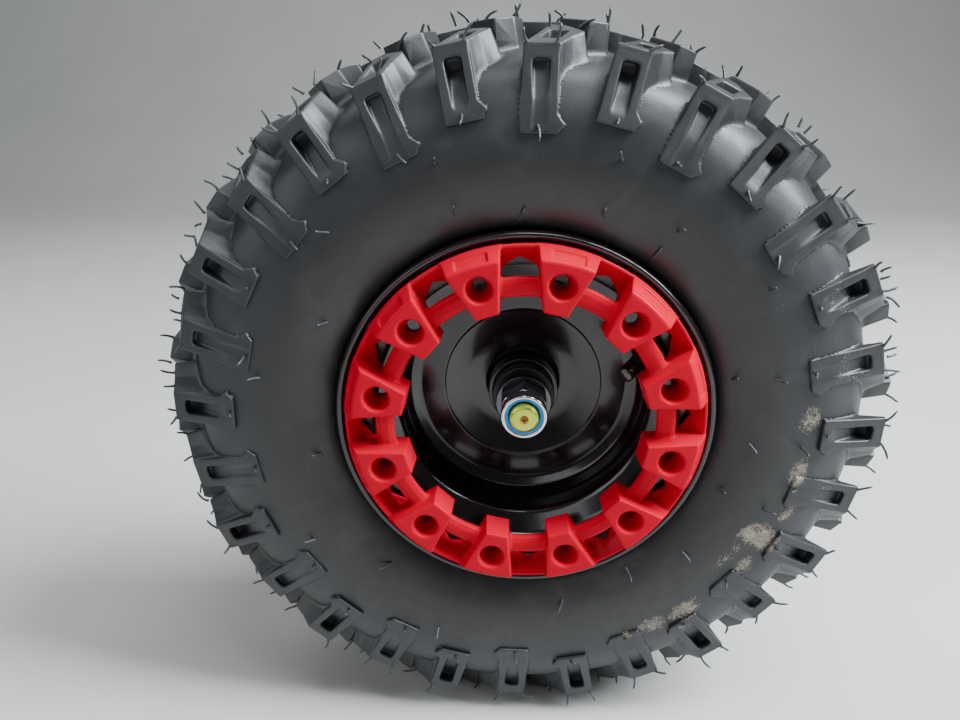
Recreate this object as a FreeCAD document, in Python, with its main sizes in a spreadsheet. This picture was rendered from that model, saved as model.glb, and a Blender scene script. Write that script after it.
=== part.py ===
import FreeCAD, Part
import math
import os
import Sketcher

# Front wheel of a small quad bike on its stub axle and steering knuckle.
# Millimetres. The kingpin axis is Z, the wheel spins about Y and its
# outer face looks along -Y. The vehicle drives along -X.

SIZES = [
    # wheel place
    ("wheel_offset", 74.0),
    # tyre carcass, radii by their share of the height from bead seat to tread
    ("tyre_radius", 177.8),
    ("tyre_half_width", 58.5),
    ("crown_drop", 12.2),
    ("crown_out", 30.0),
    ("shoulder_out", 50.0),
    ("shoulder_drop", 21.8),
    ("side_high_out", 57.0),
    ("side_high_share", 0.628),
    ("side_mid_share", 0.431),
    ("side_low_out", 55.6),
    ("side_low_share", 0.274),
    ("bead_outer_out", 49.6),
    ("bead_outer_rise", 16.4),
    ("bead_seat_radius", 76.2),
    ("bead_face_out", 44.2),
    ("bead_toe_out", 33.4),
    ("tyre_wall", 6.0),
    # tread
    ("lug_width", 15.0),
    ("lug_face_out", 52.0),
    ("lug_foot_out", 58.9),
    ("lug_inner_out", 34.0),
    ("lug_crest_drop", 4.0),
    ("lug_lean", 10.4),
    ("centre_width", 21.0),
    ("centre_step", 2.6),
    ("centre_turn", 5.75),
    ("centre_lean", 3.9),
    ("centre_inner_out", 5.0),
    ("slot_width", 6.8),
    ("pocket_width", 7.4),
    ("pocket_outer_out", 46.6),
    ("pocket_inner_out", 39.2),
    ("pocket_floor_drop", 9.5),
    ("slot_floor_out", 48.5),
    # rim
    ("rim_sheet", 2.2),
    ("well_drop", 13.8),
    ("well_out", 30.4),
    ("seat_start_out", 37.6),
    ("flange_web_out", 46.4),
    ("lip_rise", 10.3),
    ("lip_height", 3.9),
    ("lip_out", 54.4),
    # disc
    ("disc_sheet", 3.0),
    ("dish_out", 2.4),
    ("annulus_out", 6.7),
    ("dish_share", 0.464),
    ("annulus_width", 13.8),
    ("annulus_step", 7.2),
    ("disc_skirt_out", 17.0),
    # hub tube and bearings
    ("hub_radius", 18.0),
    ("bearing_radius", 16.0),
    ("hub_bore_radius", 14.6),
    ("hub_front_out", 16.8),
    ("hub_rear_in", 33.0),
    ("bearing_width", 9.0),
    ("front_bearing_out", 15.0),
    ("rear_bearing_in", 31.0),
    ("seal_bore_radius", 10.6),
    ("front_seal_out", 24.0),
    ("rear_seal_in", 36.0),
    # stub axle and its stack
    ("axle_radius", 7.5),
    ("thread_radius", 7.0),
    ("axle_end_out", 52.7),
    ("thread_start_out", 29.0),
    ("axle_shoulder_in", 37.0),
    ("root_radius", 10.0),
    ("root_length", 24.0),
    ("sleeve_radius", 10.0),
    ("washer_radius", 14.0),
    ("washer_thickness", 2.5),
    ("washer_out", 32.0),
    ("nut_width", 22.0),
    ("nut_hex_height", 11.5),
    ("nut_out", 50.2),
    ("collar_radius", 10.8),
    ("insert_radius", 8.9),
    ("insert_depth", 4.0),
    # knuckle
    ("kingpin_bore_radius", 8.0),
    ("kingpin_tube_radius", 14.0),
    ("kingpin_half_height", 34.0),
    ("boss_radius", 16.0),
    ("arm_reach", 78.0),
    ("arm_thickness", 10.0),
    ("arm_top", -20.0),
    ("arm_root_half", 11.0),
    ("arm_eye_radius", 11.0),
    ("arm_in", 8.0),
    ("tie_bore_radius", 5.0),
    # trim ring, radii from the bead seat
    ("ring_seat_rise", 1.2),
    ("ring_cone_width", 8.6),
    ("ring_edge_out", 56.9),
    ("ring_foot_height", 1.4),
    ("bar_inner_drop", 14.6),
    ("bar_width", 9.6),
    ("bar_out", 58.6),
    ("bar_edge_out", 56.3),
    ("bar_back_out", 52.0),
    ("ring_boss_out", 66.2),
    ("ring_boss_inner_drop", 19.2),
    ("ring_boss_flat_rise", 4.3),
    ("ring_boss_half_inner", 5.6),
    ("ring_boss_flare", 0.31),
    ("ring_boss_angle", 12.5),
    ("brow_pad_half", 8.0),
    ("brow_pad_depth", 0.7),
    ("funnel_drop", 6.4),
    ("funnel_mouth_radius", 6.1),
    ("funnel_throat_radius", 2.95),
    ("funnel_throat_out", 57.0),
    # valve
    ("valve_angle", 65.5),
    ("valve_foot_out", 32.5),
    ("valve_foot_drop", 10.4),
    ("valve_lean", 43.4),
    ("valve_base_radius", 6.2),
    ("valve_stem_radius", 4.3),
    ("valve_stem_length", 13.5),
    ("valve_cap_radius", 4.1),
    ("valve_cap_length", 7.9),
]

# radii that several pieces share, as sums of the sizes above
WELL = "bead_seat_radius - well_drop"
LIP_INNER = "bead_seat_radius + lip_rise"
LIP_OUTER = LIP_INNER + " + lip_height"
RING_SEAT = "bead_seat_radius + ring_seat_rise"
RING = RING_SEAT + " + ring_cone_width"
BAR_INNER = "bead_seat_radius - bar_inner_drop"
BAR_OUTER = BAR_INNER + " + bar_width"

SIZE = dict(SIZES)
os.makedirs("parts", exist_ok=True)
doc = FreeCAD.newDocument("quad_bike_wheel")
sheet = doc.addObject("Spreadsheet::Sheet", "Sizes")
for row, (name, number) in enumerate(SIZES, start=1):
    sheet.set("A%d" % row, name.replace("_", " "))
    sheet.set("B%d" % row, repr(number))
    sheet.setAlias("B%d" % row, name)
doc.recompute()


def terms(text):
    """Split 'a - b*c + 3' into signed (number, names) products."""
    out = []
    sign = 1.0
    for word in text.split():
        if word in "+-":
            sign = 1.0 if word == "+" else -1.0
            continue
        if word.startswith("-"):
            sign = -sign
            word = word[1:]
        number = sign
        names = []
        for factor in word.split("*"):
            if factor in SIZE:
                names.append(factor)
            else:
                number *= float(factor)
        out.append((number, names))
        sign = 1.0
    return out


def amount(text):
    """The number that a sum of sizes comes to."""
    return sum(k * math.prod(SIZE[n] for n in names) for k, names in terms(text))


def formula(text):
    """The same sum, written for the sheet."""
    return " + ".join(" * ".join(["(%r)" % k] + ["Sizes." + n for n in names])
                      for k, names in terms(text))


def new_body(label):
    body = doc.addObject("PartDesign::Body", label)
    body.Label = label
    return body


def plane(body, role):
    for feature in body.Origin.OriginFeatures:
        if feature.Role == role:
            return feature
    raise ValueError(role)


def sketch_on(body, role, name):
    sketch = body.newObject("Sketcher::SketchObject", name)
    sketch.AttachmentSupport = [(plane(body, role), "")]
    sketch.MapMode = "FlatFace"
    return sketch


def pin_point(sketch, geo, pos, across, up):
    """Hold one point of a sketch by two sizes from its origin."""
    for kind, text in (("DistanceX", across), ("DistanceY", up)):
        index = sketch.addConstraint(Sketcher.Constraint(kind, -1, 1, geo, pos, amount(text)))
        if any(names for _, names in terms(text)):
            sketch.setExpression("Constraints[%d]" % index, formula(text))


def outline(sketch, points):
    """Closed outline of straight lines through (across, up) sums of sizes."""
    flat = [FreeCAD.Vector(amount(a), amount(b), 0) for a, b in points]
    count = len(flat)
    first = sketch.GeometryCount
    for i in range(count):
        sketch.addGeometry(Part.LineSegment(flat[i], flat[(i + 1) % count]), False)
    for i in range(count):
        sketch.addConstraint(
            Sketcher.Constraint("Coincident", first + i, 2, first + (i + 1) % count, 1))
    for i, (across, up) in enumerate(points):
        pin_point(sketch, first + i, 1, across, up)


def circle(sketch, across, up, radius):
    """Circle with its centre and radius held by sizes."""
    centre = FreeCAD.Vector(amount(across), amount(up), 0)
    geo = sketch.addGeometry(
        Part.Circle(centre, FreeCAD.Vector(0, 0, 1), amount(radius)), False)
    pin_point(sketch, geo, 3, across, up)
    index = sketch.addConstraint(Sketcher.Constraint("Radius", geo, amount(radius)))
    sketch.setExpression("Constraints[%d]" % index, formula(radius))


def flip(text):
    """The same sum with every sign turned round."""
    return " ".join("%s %s" % ("-" if k > 0 else "+", "*".join([repr(abs(k))] + names))
                    for k, names in terms(text))


def outward(text):
    """Place along Y of a distance outward from the wheel's mid-plane."""
    return "-wheel_offset " + flip(text)


def at_share(share):
    """Radius at a share of the height from the bead seat to the tread."""
    return "bead_seat_radius + tyre_radius*%s - bead_seat_radius*%s" % (share, share)


def turned(label, profile):
    """Body turned about the wheel's axis from (out, radius) points."""
    body = new_body(label)
    sketch = sketch_on(body, "YZ_Plane", label + "_profile")
    outline(sketch, [(outward(out), radius) for out, radius in profile])
    turn = body.newObject("PartDesign::Revolution", label + "_turn")
    turn.Profile = sketch
    turn.ReferenceAxis = (sketch, ["H_Axis"])
    turn.Angle = 360.0
    body.Tip = turn
    return body


def both_sides(half):
    """A half profile and its mirror image about the mid-plane."""
    return half + [(flip(out), radius) for out, radius in reversed(half)]


def ring_sketch(body, name, profile):
    """Sketch of (out, radius) points in the plane through the wheel's axis."""
    sketch = sketch_on(body, "YZ_Plane", name)
    outline(sketch, [(outward(out), radius) for out, radius in profile])
    return sketch


def turned_cut(body, name, profile):
    """Cut turned about the wheel's axis from (out, radius) points."""
    cut = body.newObject("PartDesign::Groove", name + "_cut")
    sketch = ring_sketch(body, name, profile)
    cut.Profile = sketch
    cut.ReferenceAxis = (sketch, ["H_Axis"])
    cut.Angle = 360.0
    return cut


def on_side(side, out):
    """Distance outward on one side of the tyre, +1 the outer and -1 the far one."""
    return out if side > 0 else flip(out)


def tread_block(body, name, side, angle, lean, width, profile, cut=False):
    """Tread block, or a pocket cut in one, with leaning flanks, from (out, radius) points of its side view.

    The first point's place outward is where the block's middle sits at its angle.
    """
    start = profile[0][0]
    run = amount(profile[0][0]) - min(amount(out) for out, _ in profile)
    skew = side * math.atan2(amount(lean), run)
    stretch = 1.0 / math.cos(skew)
    sketch = sketch_on(body, "YZ_Plane", name)
    spin = FreeCAD.Rotation(FreeCAD.Vector(1, 0, 0), angle)
    tilt = FreeCAD.Rotation(FreeCAD.Vector(0, 1, 0), -math.degrees(skew))
    across = spin.multVec(FreeCAD.Vector(0, 0, 1))
    base = across * (-0.5 * amount(width))
    base.x = amount(outward(on_side(side, start)))
    sketch.AttachmentOffset = FreeCAD.Placement(base, spin.multiply(tilt))
    sketch.setExpression("AttachmentOffset.Base.x", formula(outward(on_side(side, start))))
    points = []
    for out, radius in profile:
        places = terms(start + " " + flip(out))
        along = " ".join("%s %s" % ("+" if k * side > 0 else "-", "*".join([repr(abs(k) * stretch)] + names))
                         for k, names in places)
        points.append((along, radius))
    outline(sketch, points)
    a = math.radians(angle)
    pad = body.newObject("PartDesign::Pocket" if cut else "PartDesign::Pad", name + "_block")
    pad.Profile = sketch
    pad.UseCustomVector = True
    pad.AlongSketchNormal = False
    pad.Direction = FreeCAD.Vector(math.cos(a), 0, -math.sin(a)) * (-1 if cut else 1)
    pad.setExpression("Length", formula(width))
    pad.Refine = False
    return pad


def slot_cut(body, name, side, angle, high, low):
    """Slot in a lug's outer face, its floor rising to the face at the low end."""
    cut = side_cut(body, name, angle, "slot_width", [(on_side(side, out), radius) for out, radius in (
        ("lug_foot_out + 2.0", high),
        ("slot_floor_out", high),
        ("slot_floor_out", high + " - 8.0"),
        ("lug_foot_out - 1.2", low),
        ("lug_foot_out + 2.0", low),
    )])
    cut.Refine = False
    return cut


# lug: angle, then what its face's top corner, foot, slot top and slot end lose of the tread radius
PITCH_COUNT = 14
LUGS = {
    "long": (1.5, "12.0", "46.8", "17.8", "43.8"),
    "short": (14.357, "9.0", "39.9", "14.4", "35.3"),
}


def make_tread_side(body, side):
    """Shoulder lugs, centre blocks and slots of one side of one pitch."""
    mark = "outer" if side > 0 else "far"
    low = "tyre_radius - crown_drop - 5.6"
    crest = "tyre_radius - lug_crest_drop"
    lean = SIZE["lug_lean"] / (SIZE["lug_face_out"] - SIZE["lug_inner_out"])
    pocket_lean = "%.4f" % (lean * (SIZE["lug_face_out"] - SIZE["pocket_inner_out"]))
    for kind, (angle, corner_drop, foot_drop, slot_top, slot_low) in LUGS.items():
        name = "%s_%s" % (mark, kind)
        if side < 0:
            angle += 180.0 / (2 * PITCH_COUNT)
        corner = "tyre_radius - %s" % corner_drop
        foot = "tyre_radius - %s" % foot_drop
        tread_block(body, name + "_face", side, angle, "0", "lug_width", [
            ("lug_foot_out", foot),
            ("lug_face_out", corner),
            ("lug_face_out", "tyre_radius - shoulder_drop - 6.5"),
            ("lug_foot_out - 4.0", foot),
        ])
        tread_block(body, name + "_shoulder", side, angle, "lug_lean", "lug_width", [
            ("lug_face_out", corner),
            ("lug_inner_out", crest),
            ("lug_inner_out", low),
            ("shoulder_out - 3.0", "tyre_radius - shoulder_drop - 2.5"),
            ("lug_face_out", "tyre_radius - shoulder_drop - 6.5"),
        ])
        tread_block(body, name + "_centre", side, angle + SIZE["centre_turn"], "centre_lean",
                    "centre_width", [
            ("lug_inner_out", crest + " + centre_step"),
            ("lug_inner_out*0.45", "tyre_radius - 0.2"),
            ("centre_inner_out", "tyre_radius - 0.2"),
            ("centre_inner_out", low),
            ("lug_inner_out", low),
        ])
        slot_cut(body, name + "_slot", side, angle,
                 "tyre_radius - %s" % slot_top, "tyre_radius - %s" % slot_low)
        tread_block(body, name + "_pocket", side, angle, pocket_lean, "pocket_width", [
            ("lug_face_out", corner + " + 3.2"),
            ("pocket_inner_out", crest + " + 4.0"),
            ("pocket_inner_out", crest + " - pocket_floor_drop"),
            ("pocket_outer_out", crest + " - pocket_floor_drop"),
            ("pocket_outer_out", corner + " + 3.1"),
        ], cut=True)


def make_tyre():
    """One pitch of the carcass with two lugs a side, repeated round the wheel."""
    outer = [
        ("crown_out", "tyre_radius - crown_drop"),
        ("shoulder_out", "tyre_radius - shoulder_drop"),
        ("side_high_out", at_share("side_high_share")),
        ("tyre_half_width", at_share("side_mid_share")),
        ("side_low_out", at_share("side_low_share")),
        ("bead_outer_out", "bead_seat_radius + bead_outer_rise"),
        ("bead_face_out", LIP_OUTER + " - 2.6"),
        ("bead_face_out", "bead_seat_radius + 0.1"),
        ("bead_toe_out", "bead_seat_radius + 0.1"),
    ]
    inner = [
        ("side_low_out - tyre_wall*1.4", at_share("side_low_share")),
        ("side_high_out - tyre_wall*1.8", at_share("side_high_share")),
        ("crown_out - 4.0", "tyre_radius - crown_drop - tyre_wall*1.7"),
    ]
    body = turned("tyre", both_sides(outer + inner))
    turn = body.Tip
    turn.Angle = 360.0 / PITCH_COUNT
    turn.Refine = False
    for side in (1, -1):
        make_tread_side(body, side)
    doc.recompute()
    ring = body.newObject("PartDesign::PolarPattern", "pitch_ring")
    ring.TransformMode = "Whole shape"
    ring.Axis = (plane(body, "Y_Axis"), [""])
    ring.Angle = 360.0
    ring.Occurrences = PITCH_COUNT
    ring.Refine = False
    body.Tip = ring
    return body


def make_rim_barrel():
    visible = [
        ("well_out", WELL),
        ("seat_start_out", "bead_seat_radius - rim_sheet"),
        ("flange_web_out", "bead_seat_radius - rim_sheet"),
        ("flange_web_out", LIP_INNER + " - 1.2"),
        ("flange_web_out + 1.2", LIP_INNER),
        ("lip_out - 1.0", LIP_INNER),
        ("lip_out", LIP_INNER + " + 1.2"),
        ("lip_out", LIP_OUTER + " - 1.6"),
        ("lip_out - 1.6", LIP_OUTER),
        ("flange_web_out + 2.2", LIP_OUTER),
        ("flange_web_out - rim_sheet", LIP_INNER),
        ("flange_web_out - rim_sheet", "bead_seat_radius"),
        ("seat_start_out - 0.9", "bead_seat_radius"),
        ("well_out - 1.0", WELL + " + rim_sheet"),
    ]
    return turned("rim_barrel", both_sides(visible))


def make_wheel_disc():
    hub = "hub_radius + 0.05"
    dish = "hub_radius + bead_seat_radius*dish_share - well_drop*dish_share - hub_radius*dish_share"
    outer = WELL + " - annulus_step"
    inner = outer + " - annulus_width"
    return turned("wheel_disc", [
        ("dish_out", hub),
        ("dish_out", dish),
        ("annulus_out", inner),
        ("annulus_out", outer),
        ("annulus_out + 3.2", WELL + " - 1.9"),
        ("disc_skirt_out", WELL + " - 0.1"),
        ("annulus_out + 1.5", WELL + " - 0.1"),
        ("annulus_out - disc_sheet", outer + " + 2.0"),
        ("annulus_out - disc_sheet", inner + " + 1.0"),
        ("dish_out - disc_sheet", dish + " + 1.0"),
        ("dish_out - disc_sheet", hub),
    ])


def make_hub_tube():
    return turned("hub_tube", [
        ("hub_front_out", "bearing_radius"),
        ("hub_front_out", "hub_radius"),
        ("0 - hub_rear_in", "hub_radius"),
        ("0 - hub_rear_in", "bearing_radius"),
        ("bearing_width - rear_bearing_in", "bearing_radius"),
        ("bearing_width - rear_bearing_in", "hub_bore_radius"),
        ("front_bearing_out - bearing_width", "hub_bore_radius"),
        ("front_bearing_out - bearing_width", "bearing_radius"),
    ])


def make_sleeve(label, low, high, inner, outer):
    """Plain ring between two places along the axle."""
    return turned(label, [(low, inner), (low, outer), (high, outer), (high, inner)])


def make_stub_axle():
    return turned("stub_axle", [
        ("axle_end_out", "1.6"),
        ("axle_end_out", "thread_radius - 1.0"),
        ("axle_end_out - 1.2", "thread_radius"),
        ("thread_start_out", "thread_radius"),
        ("thread_start_out", "axle_radius"),
        ("0 - rear_seal_in", "axle_radius"),
        ("0 - rear_seal_in", "sleeve_radius + 2.0"),
        ("0 - axle_shoulder_in - 1.0", "sleeve_radius + 2.0"),
        ("0 - axle_shoulder_in - 1.0", "root_radius"),
        ("0 - axle_shoulder_in - root_length", "root_radius"),
        ("0 - axle_shoulder_in - root_length", "0"),
        ("axle_end_out - 3.0", "0"),
    ])


def make_lock_nut():
    body = turned("lock_nut", [
        ("washer_out", "thread_radius + 0.05"),
        ("washer_out", "nut_width*0.577 - 1.3"),
        ("washer_out + 0.8", "nut_width*0.577"),
        ("washer_out + nut_hex_height - 0.9", "nut_width*0.577"),
        ("washer_out + nut_hex_height", "nut_width*0.577 - 1.5"),
        ("washer_out + nut_hex_height", "collar_radius"),
        ("nut_out - 1.4", "collar_radius"),
        ("nut_out", "collar_radius - 1.6"),
        ("nut_out", "insert_radius"),
        ("nut_out - insert_depth", "insert_radius"),
        ("nut_out - insert_depth", "thread_radius + 0.05"),
    ])
    sketch = sketch_on(body, "XZ_Plane", "lock_nut_flats")
    corner = SIZE["nut_width"] / math.sqrt(3.0)
    ring = [(corner * math.cos(math.radians(60.0 * k)), corner * math.sin(math.radians(60.0 * k)))
            for k in range(6)]
    flat = [FreeCAD.Vector(a, b, 0) for a, b in ring]
    for i in range(6):
        sketch.addGeometry(Part.LineSegment(flat[i], flat[(i + 1) % 6]), False)
    for i in range(6):
        sketch.addConstraint(Sketcher.Constraint("Coincident", i, 2, (i + 1) % 6, 1))
    for i in range(1, 6):
        sketch.addConstraint(Sketcher.Constraint("Equal", 0, i))
    guide = sketch.addGeometry(
        Part.Circle(FreeCAD.Vector(0, 0, 0), FreeCAD.Vector(0, 0, 1), corner), True)
    sketch.addConstraint(Sketcher.Constraint("Coincident", guide, 3, -1, 1))
    for i in range(6):
        sketch.addConstraint(Sketcher.Constraint("PointOnObject", i, 1, guide))
    sketch.addConstraint(Sketcher.Constraint("PointOnObject", 0, 1, -1))
    index = sketch.addConstraint(Sketcher.Constraint("Radius", guide, corner))
    sketch.setExpression("Constraints[%d]" % index, "Sizes.nut_width / sqrt(3)")
    outer = sketch.addGeometry(
        Part.Circle(FreeCAD.Vector(0, 0, 0), FreeCAD.Vector(0, 0, 1), 3.0 * corner), False)
    sketch.addConstraint(Sketcher.Constraint("Coincident", outer, 3, -1, 1))
    index = sketch.addConstraint(Sketcher.Constraint("Radius", outer, 3.0 * corner))
    sketch.setExpression("Constraints[%d]" % index, "Sizes.nut_width * sqrt(3)")
    cut = body.newObject("PartDesign::Pocket", "lock_nut_hex")
    cut.Profile = sketch
    cut.Type = "ThroughAll"
    cut.Midplane = True
    body.Tip = cut
    return body


def make_knuckle():
    body = new_body("knuckle")
    tube = sketch_on(body, "XY_Plane", "knuckle_tube")
    circle(tube, "0", "0", "kingpin_tube_radius")
    pad = body.newObject("PartDesign::Pad", "knuckle_tube_pad")
    pad.Profile = tube
    pad.Midplane = True
    pad.setExpression("Length", "2 * Sizes.kingpin_half_height")
    stub = sketch_on(body, "YZ_Plane", "knuckle_boss")
    front = "axle_shoulder_in + 1.0 - wheel_offset"
    outline(stub, [
        (front, "0"),
        (front, "boss_radius - 2.0"),
        (front + " + 2.0", "boss_radius"),
        ("0 - kingpin_tube_radius", "boss_radius + 3.0"),
        ("0 - 4.0", "boss_radius + 3.0"),
        ("0 - 4.0", "0"),
    ])
    turn = body.newObject("PartDesign::Revolution", "knuckle_boss_turn")
    turn.Profile = stub
    turn.ReferenceAxis = (stub, ["H_Axis"])
    turn.Angle = 360.0
    bore = sketch_on(body, "XY_Plane", "knuckle_bore")
    circle(bore, "0", "0", "kingpin_bore_radius")
    bore_cut = body.newObject("PartDesign::Pocket", "knuckle_bore_cut")
    bore_cut.Profile = bore
    bore_cut.Type = "ThroughAll"
    bore_cut.Midplane = True
    socket = sketch_on(body, "YZ_Plane", "knuckle_socket")
    deep = "axle_shoulder_in + root_length - wheel_offset"
    outline(socket, [
        (front, "0"),
        (front, "root_radius + 0.02"),
        (deep, "root_radius + 0.02"),
        (deep, "0"),
    ])
    groove = body.newObject("PartDesign::Groove", "knuckle_socket_cut")
    groove.Profile = socket
    groove.ReferenceAxis = (socket, ["H_Axis"])
    groove.Angle = 360.0
    body.Tip = groove
    return body


def level_sketch(body, name):
    """Sketch in the plane of the steering arm's top face."""
    sketch = sketch_on(body, "XY_Plane", name)
    sketch.AttachmentOffset = FreeCAD.Placement(
        FreeCAD.Vector(0, 0, SIZE["arm_top"]), FreeCAD.Rotation())
    sketch.setExpression("AttachmentOffset.Base.z", "Sizes.arm_top")
    return sketch


def make_steering_arm():
    body = new_body("steering_arm")
    arm = level_sketch(body, "arm_outline")
    outline(arm, [
        ("0", "0 - arm_root_half"),
        ("arm_reach", "arm_in - arm_eye_radius*0.8"),
        ("arm_reach + arm_eye_radius*0.8", "arm_in - arm_eye_radius*0.5"),
        ("arm_reach + arm_eye_radius*0.8", "arm_in + arm_eye_radius*0.5"),
        ("arm_reach", "arm_in + arm_eye_radius*0.8"),
        ("0", "arm_root_half"),
    ])
    pad = body.newObject("PartDesign::Pad", "arm_pad")
    pad.Profile = arm
    pad.Reversed = True
    pad.setExpression("Length", "Sizes.arm_thickness")
    for name, place, radius in (
            ("arm_eye", ("arm_reach", "arm_in"), "tie_bore_radius"),
            ("arm_seat", ("0", "0"), "kingpin_tube_radius + 0.02")):
        hole = level_sketch(body, name)
        circle(hole, place[0], place[1], radius)
        cut = body.newObject("PartDesign::Pocket", name + "_cut")
        cut.Profile = hole
        cut.Type = "ThroughAll"
        body.Tip = cut
    return body


BOSS_COUNT = 12


def side_sketch(body, name, angle, points):
    """Side view of (out, radius) points in the plane through the axis at an angle."""
    sketch = sketch_on(body, "YZ_Plane", name)
    sketch.AttachmentOffset = FreeCAD.Placement(
        FreeCAD.Vector(0, 0, 0), FreeCAD.Rotation(FreeCAD.Vector(1, 0, 0), angle))
    outline(sketch, [(outward(out), radius) for out, radius in points])
    return sketch


def side_cut(body, name, angle, width, points):
    """Straight cut of a side view, its width centred on the angle."""
    cut = body.newObject("PartDesign::Pocket", name + "_cut")
    cut.Profile = side_sketch(body, name, angle, points)
    cut.Midplane = True
    cut.setExpression("Length", formula(width))
    return cut


def front_sketch(body, name, angle, out, points):
    """Front view of (across, up) points at a place outward, its up turned to an angle."""
    sketch = sketch_on(body, "XZ_Plane", name)
    outline(sketch, points)
    lift = "wheel_offset + " + out
    sketch.AttachmentOffset = FreeCAD.Placement(
        FreeCAD.Vector(0, 0, amount(lift)), FreeCAD.Rotation(FreeCAD.Vector(0, 0, 1), -angle))
    sketch.setExpression("AttachmentOffset.Base.z", formula(lift))
    return sketch


def round_pattern(body, name, features, count):
    """Features repeated evenly about the wheel's axis."""
    ring = body.newObject("PartDesign::PolarPattern", name)
    ring.Originals = features
    ring.Axis = (plane(body, "Y_Axis"), [""])
    ring.Angle = 360.0
    ring.Occurrences = count
    body.Tip = ring
    return ring


def add_funnel(body, angle):
    """Round hole through a boss, its mouth narrowing to a throat."""
    hole = "bead_seat_radius - funnel_drop"
    sketch = side_sketch(body, "funnel", angle, [
        ("ring_boss_out + 1.0", hole),
        ("ring_boss_out + 1.0", hole + " + funnel_mouth_radius"),
        ("ring_boss_out", hole + " + funnel_mouth_radius"),
        ("funnel_throat_out", hole + " + funnel_throat_radius"),
        ("flange_web_out - 1.0", hole + " + funnel_throat_radius"),
        ("flange_web_out - 1.0", hole),
    ])
    axis = sketch.addGeometry(Part.LineSegment(
        FreeCAD.Vector(-200.0, amount(hole), 0), FreeCAD.Vector(0, amount(hole), 0)), True)
    pin_point(sketch, axis, 1, "0 - 200.0", hole)
    pin_point(sketch, axis, 2, "0", hole)
    bore = body.newObject("PartDesign::Groove", "funnel_cut")
    bore.Profile = sketch
    bore.ReferenceAxis = (sketch, ["Axis0"])
    bore.Angle = 360.0
    return bore


def make_trim_ring():
    """Cone and bar turned, bosses and their funnels repeated, brows and notches cut."""
    body = turned("trim_ring", [
        ("ring_edge_out", RING + " - 1.6"),
        ("ring_edge_out", RING + " - 0.6"),
        ("ring_edge_out - 0.6", RING),
        ("ring_edge_out - 3.0", RING),
        ("flange_web_out", RING_SEAT + " + 2.4"),
        ("flange_web_out", RING_SEAT + " - 3.2"),
        ("flange_web_out + ring_foot_height", RING_SEAT + " - 3.2"),
        ("flange_web_out + ring_foot_height", RING_SEAT + " + 0.6"),
    ])
    bar = ring_sketch(body, "bar_profile", [
        ("bar_back_out", BAR_INNER + " + 1.2"),
        ("bar_edge_out", BAR_INNER),
        ("bar_edge_out + 1.4", BAR_INNER + " + 0.8"),
        ("bar_out", BAR_INNER + " + 2.8"),
        ("bar_out", BAR_OUTER + " - 2.8"),
        ("bar_edge_out + 1.4", BAR_OUTER + " - 0.8"),
        ("bar_edge_out", BAR_OUTER),
        ("bar_back_out", BAR_OUTER + " - 1.2"),
    ])
    turn = body.newObject("PartDesign::Revolution", "bar_turn")
    turn.Profile = bar
    turn.ReferenceAxis = (bar, ["H_Axis"])
    turn.Angle = 360.0
    angle = SIZE["ring_boss_angle"]
    inner = "bead_seat_radius - ring_boss_inner_drop"
    wide = "ring_boss_half_inner + ring_cone_width*ring_boss_flare" \
           " + ring_boss_inner_drop*ring_boss_flare + ring_seat_rise*ring_boss_flare"
    boss = body.newObject("PartDesign::Pad", "boss_pad")
    boss.Profile = front_sketch(body, "boss", angle, "ring_boss_out", [
        (flip("ring_boss_half_inner - 1.0"), inner),
        ("ring_boss_half_inner - 1.0", inner),
        ("ring_boss_half_inner + 0.3", inner + " + 1.2"),
        (wide, RING),
        (flip(wide), RING),
        (flip("ring_boss_half_inner + 0.3"), inner + " + 1.2"),
    ])
    boss.Reversed = True
    boss.setExpression("Length", formula("ring_boss_out - flange_web_out"))
    round_pattern(body, "boss_ring", [boss, add_funnel(body, angle)], BOSS_COUNT)
    flat = "bead_seat_radius + ring_boss_flat_rise"
    body.Tip = turned_cut(body, "brow", [
        ("ring_boss_out + 0.01", flat),
        ("ring_edge_out", RING),
        ("flange_web_out + 2.0", RING),
        ("flange_web_out - 1.0", RING + " - 3.0"),
        ("flange_web_out - 1.0", RING + " + 6.0"),
        ("ring_boss_out + 4.0", RING + " + 6.0"),
        ("ring_boss_out + 4.0", flat),
    ])
    pad = side_cut(body, "brow_pad", angle, "brow_pad_half*2", [
        ("ring_boss_out - 1.4 - brow_pad_depth", flat + " + 0.8"),
        ("ring_edge_out + 1.4 - brow_pad_depth", RING + " - 0.8"),
        ("ring_edge_out + 5.4", RING + " + 1.2"),
        ("ring_boss_out + 2.6", flat + " + 2.8"),
    ])
    notch = body.newObject("PartDesign::Pocket", "notch_cut")
    notch.Profile = front_sketch(body, "notch", angle + 180.0 / BOSS_COUNT,
                                 "flange_web_out + ring_foot_height + 0.1", [
        ("0 - 8.0", RING_SEAT + " - 5.0"),
        ("8.0", RING_SEAT + " - 5.0"),
        ("6.4", RING_SEAT + " - 2.4"),
        ("0", RING_SEAT + " + 0.2"),
        ("0 - 6.4", RING_SEAT + " - 2.4"),
    ])
    notch.setExpression("Length", formula("ring_foot_height + 0.2"))
    round_pattern(body, "brow_ring", [pad, notch], BOSS_COUNT)
    return body


def scaled(text, factor):
    """The same sum times a number."""
    return " + ".join("*".join([repr(k * factor)] + names) for k, names in terms(text))


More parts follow.
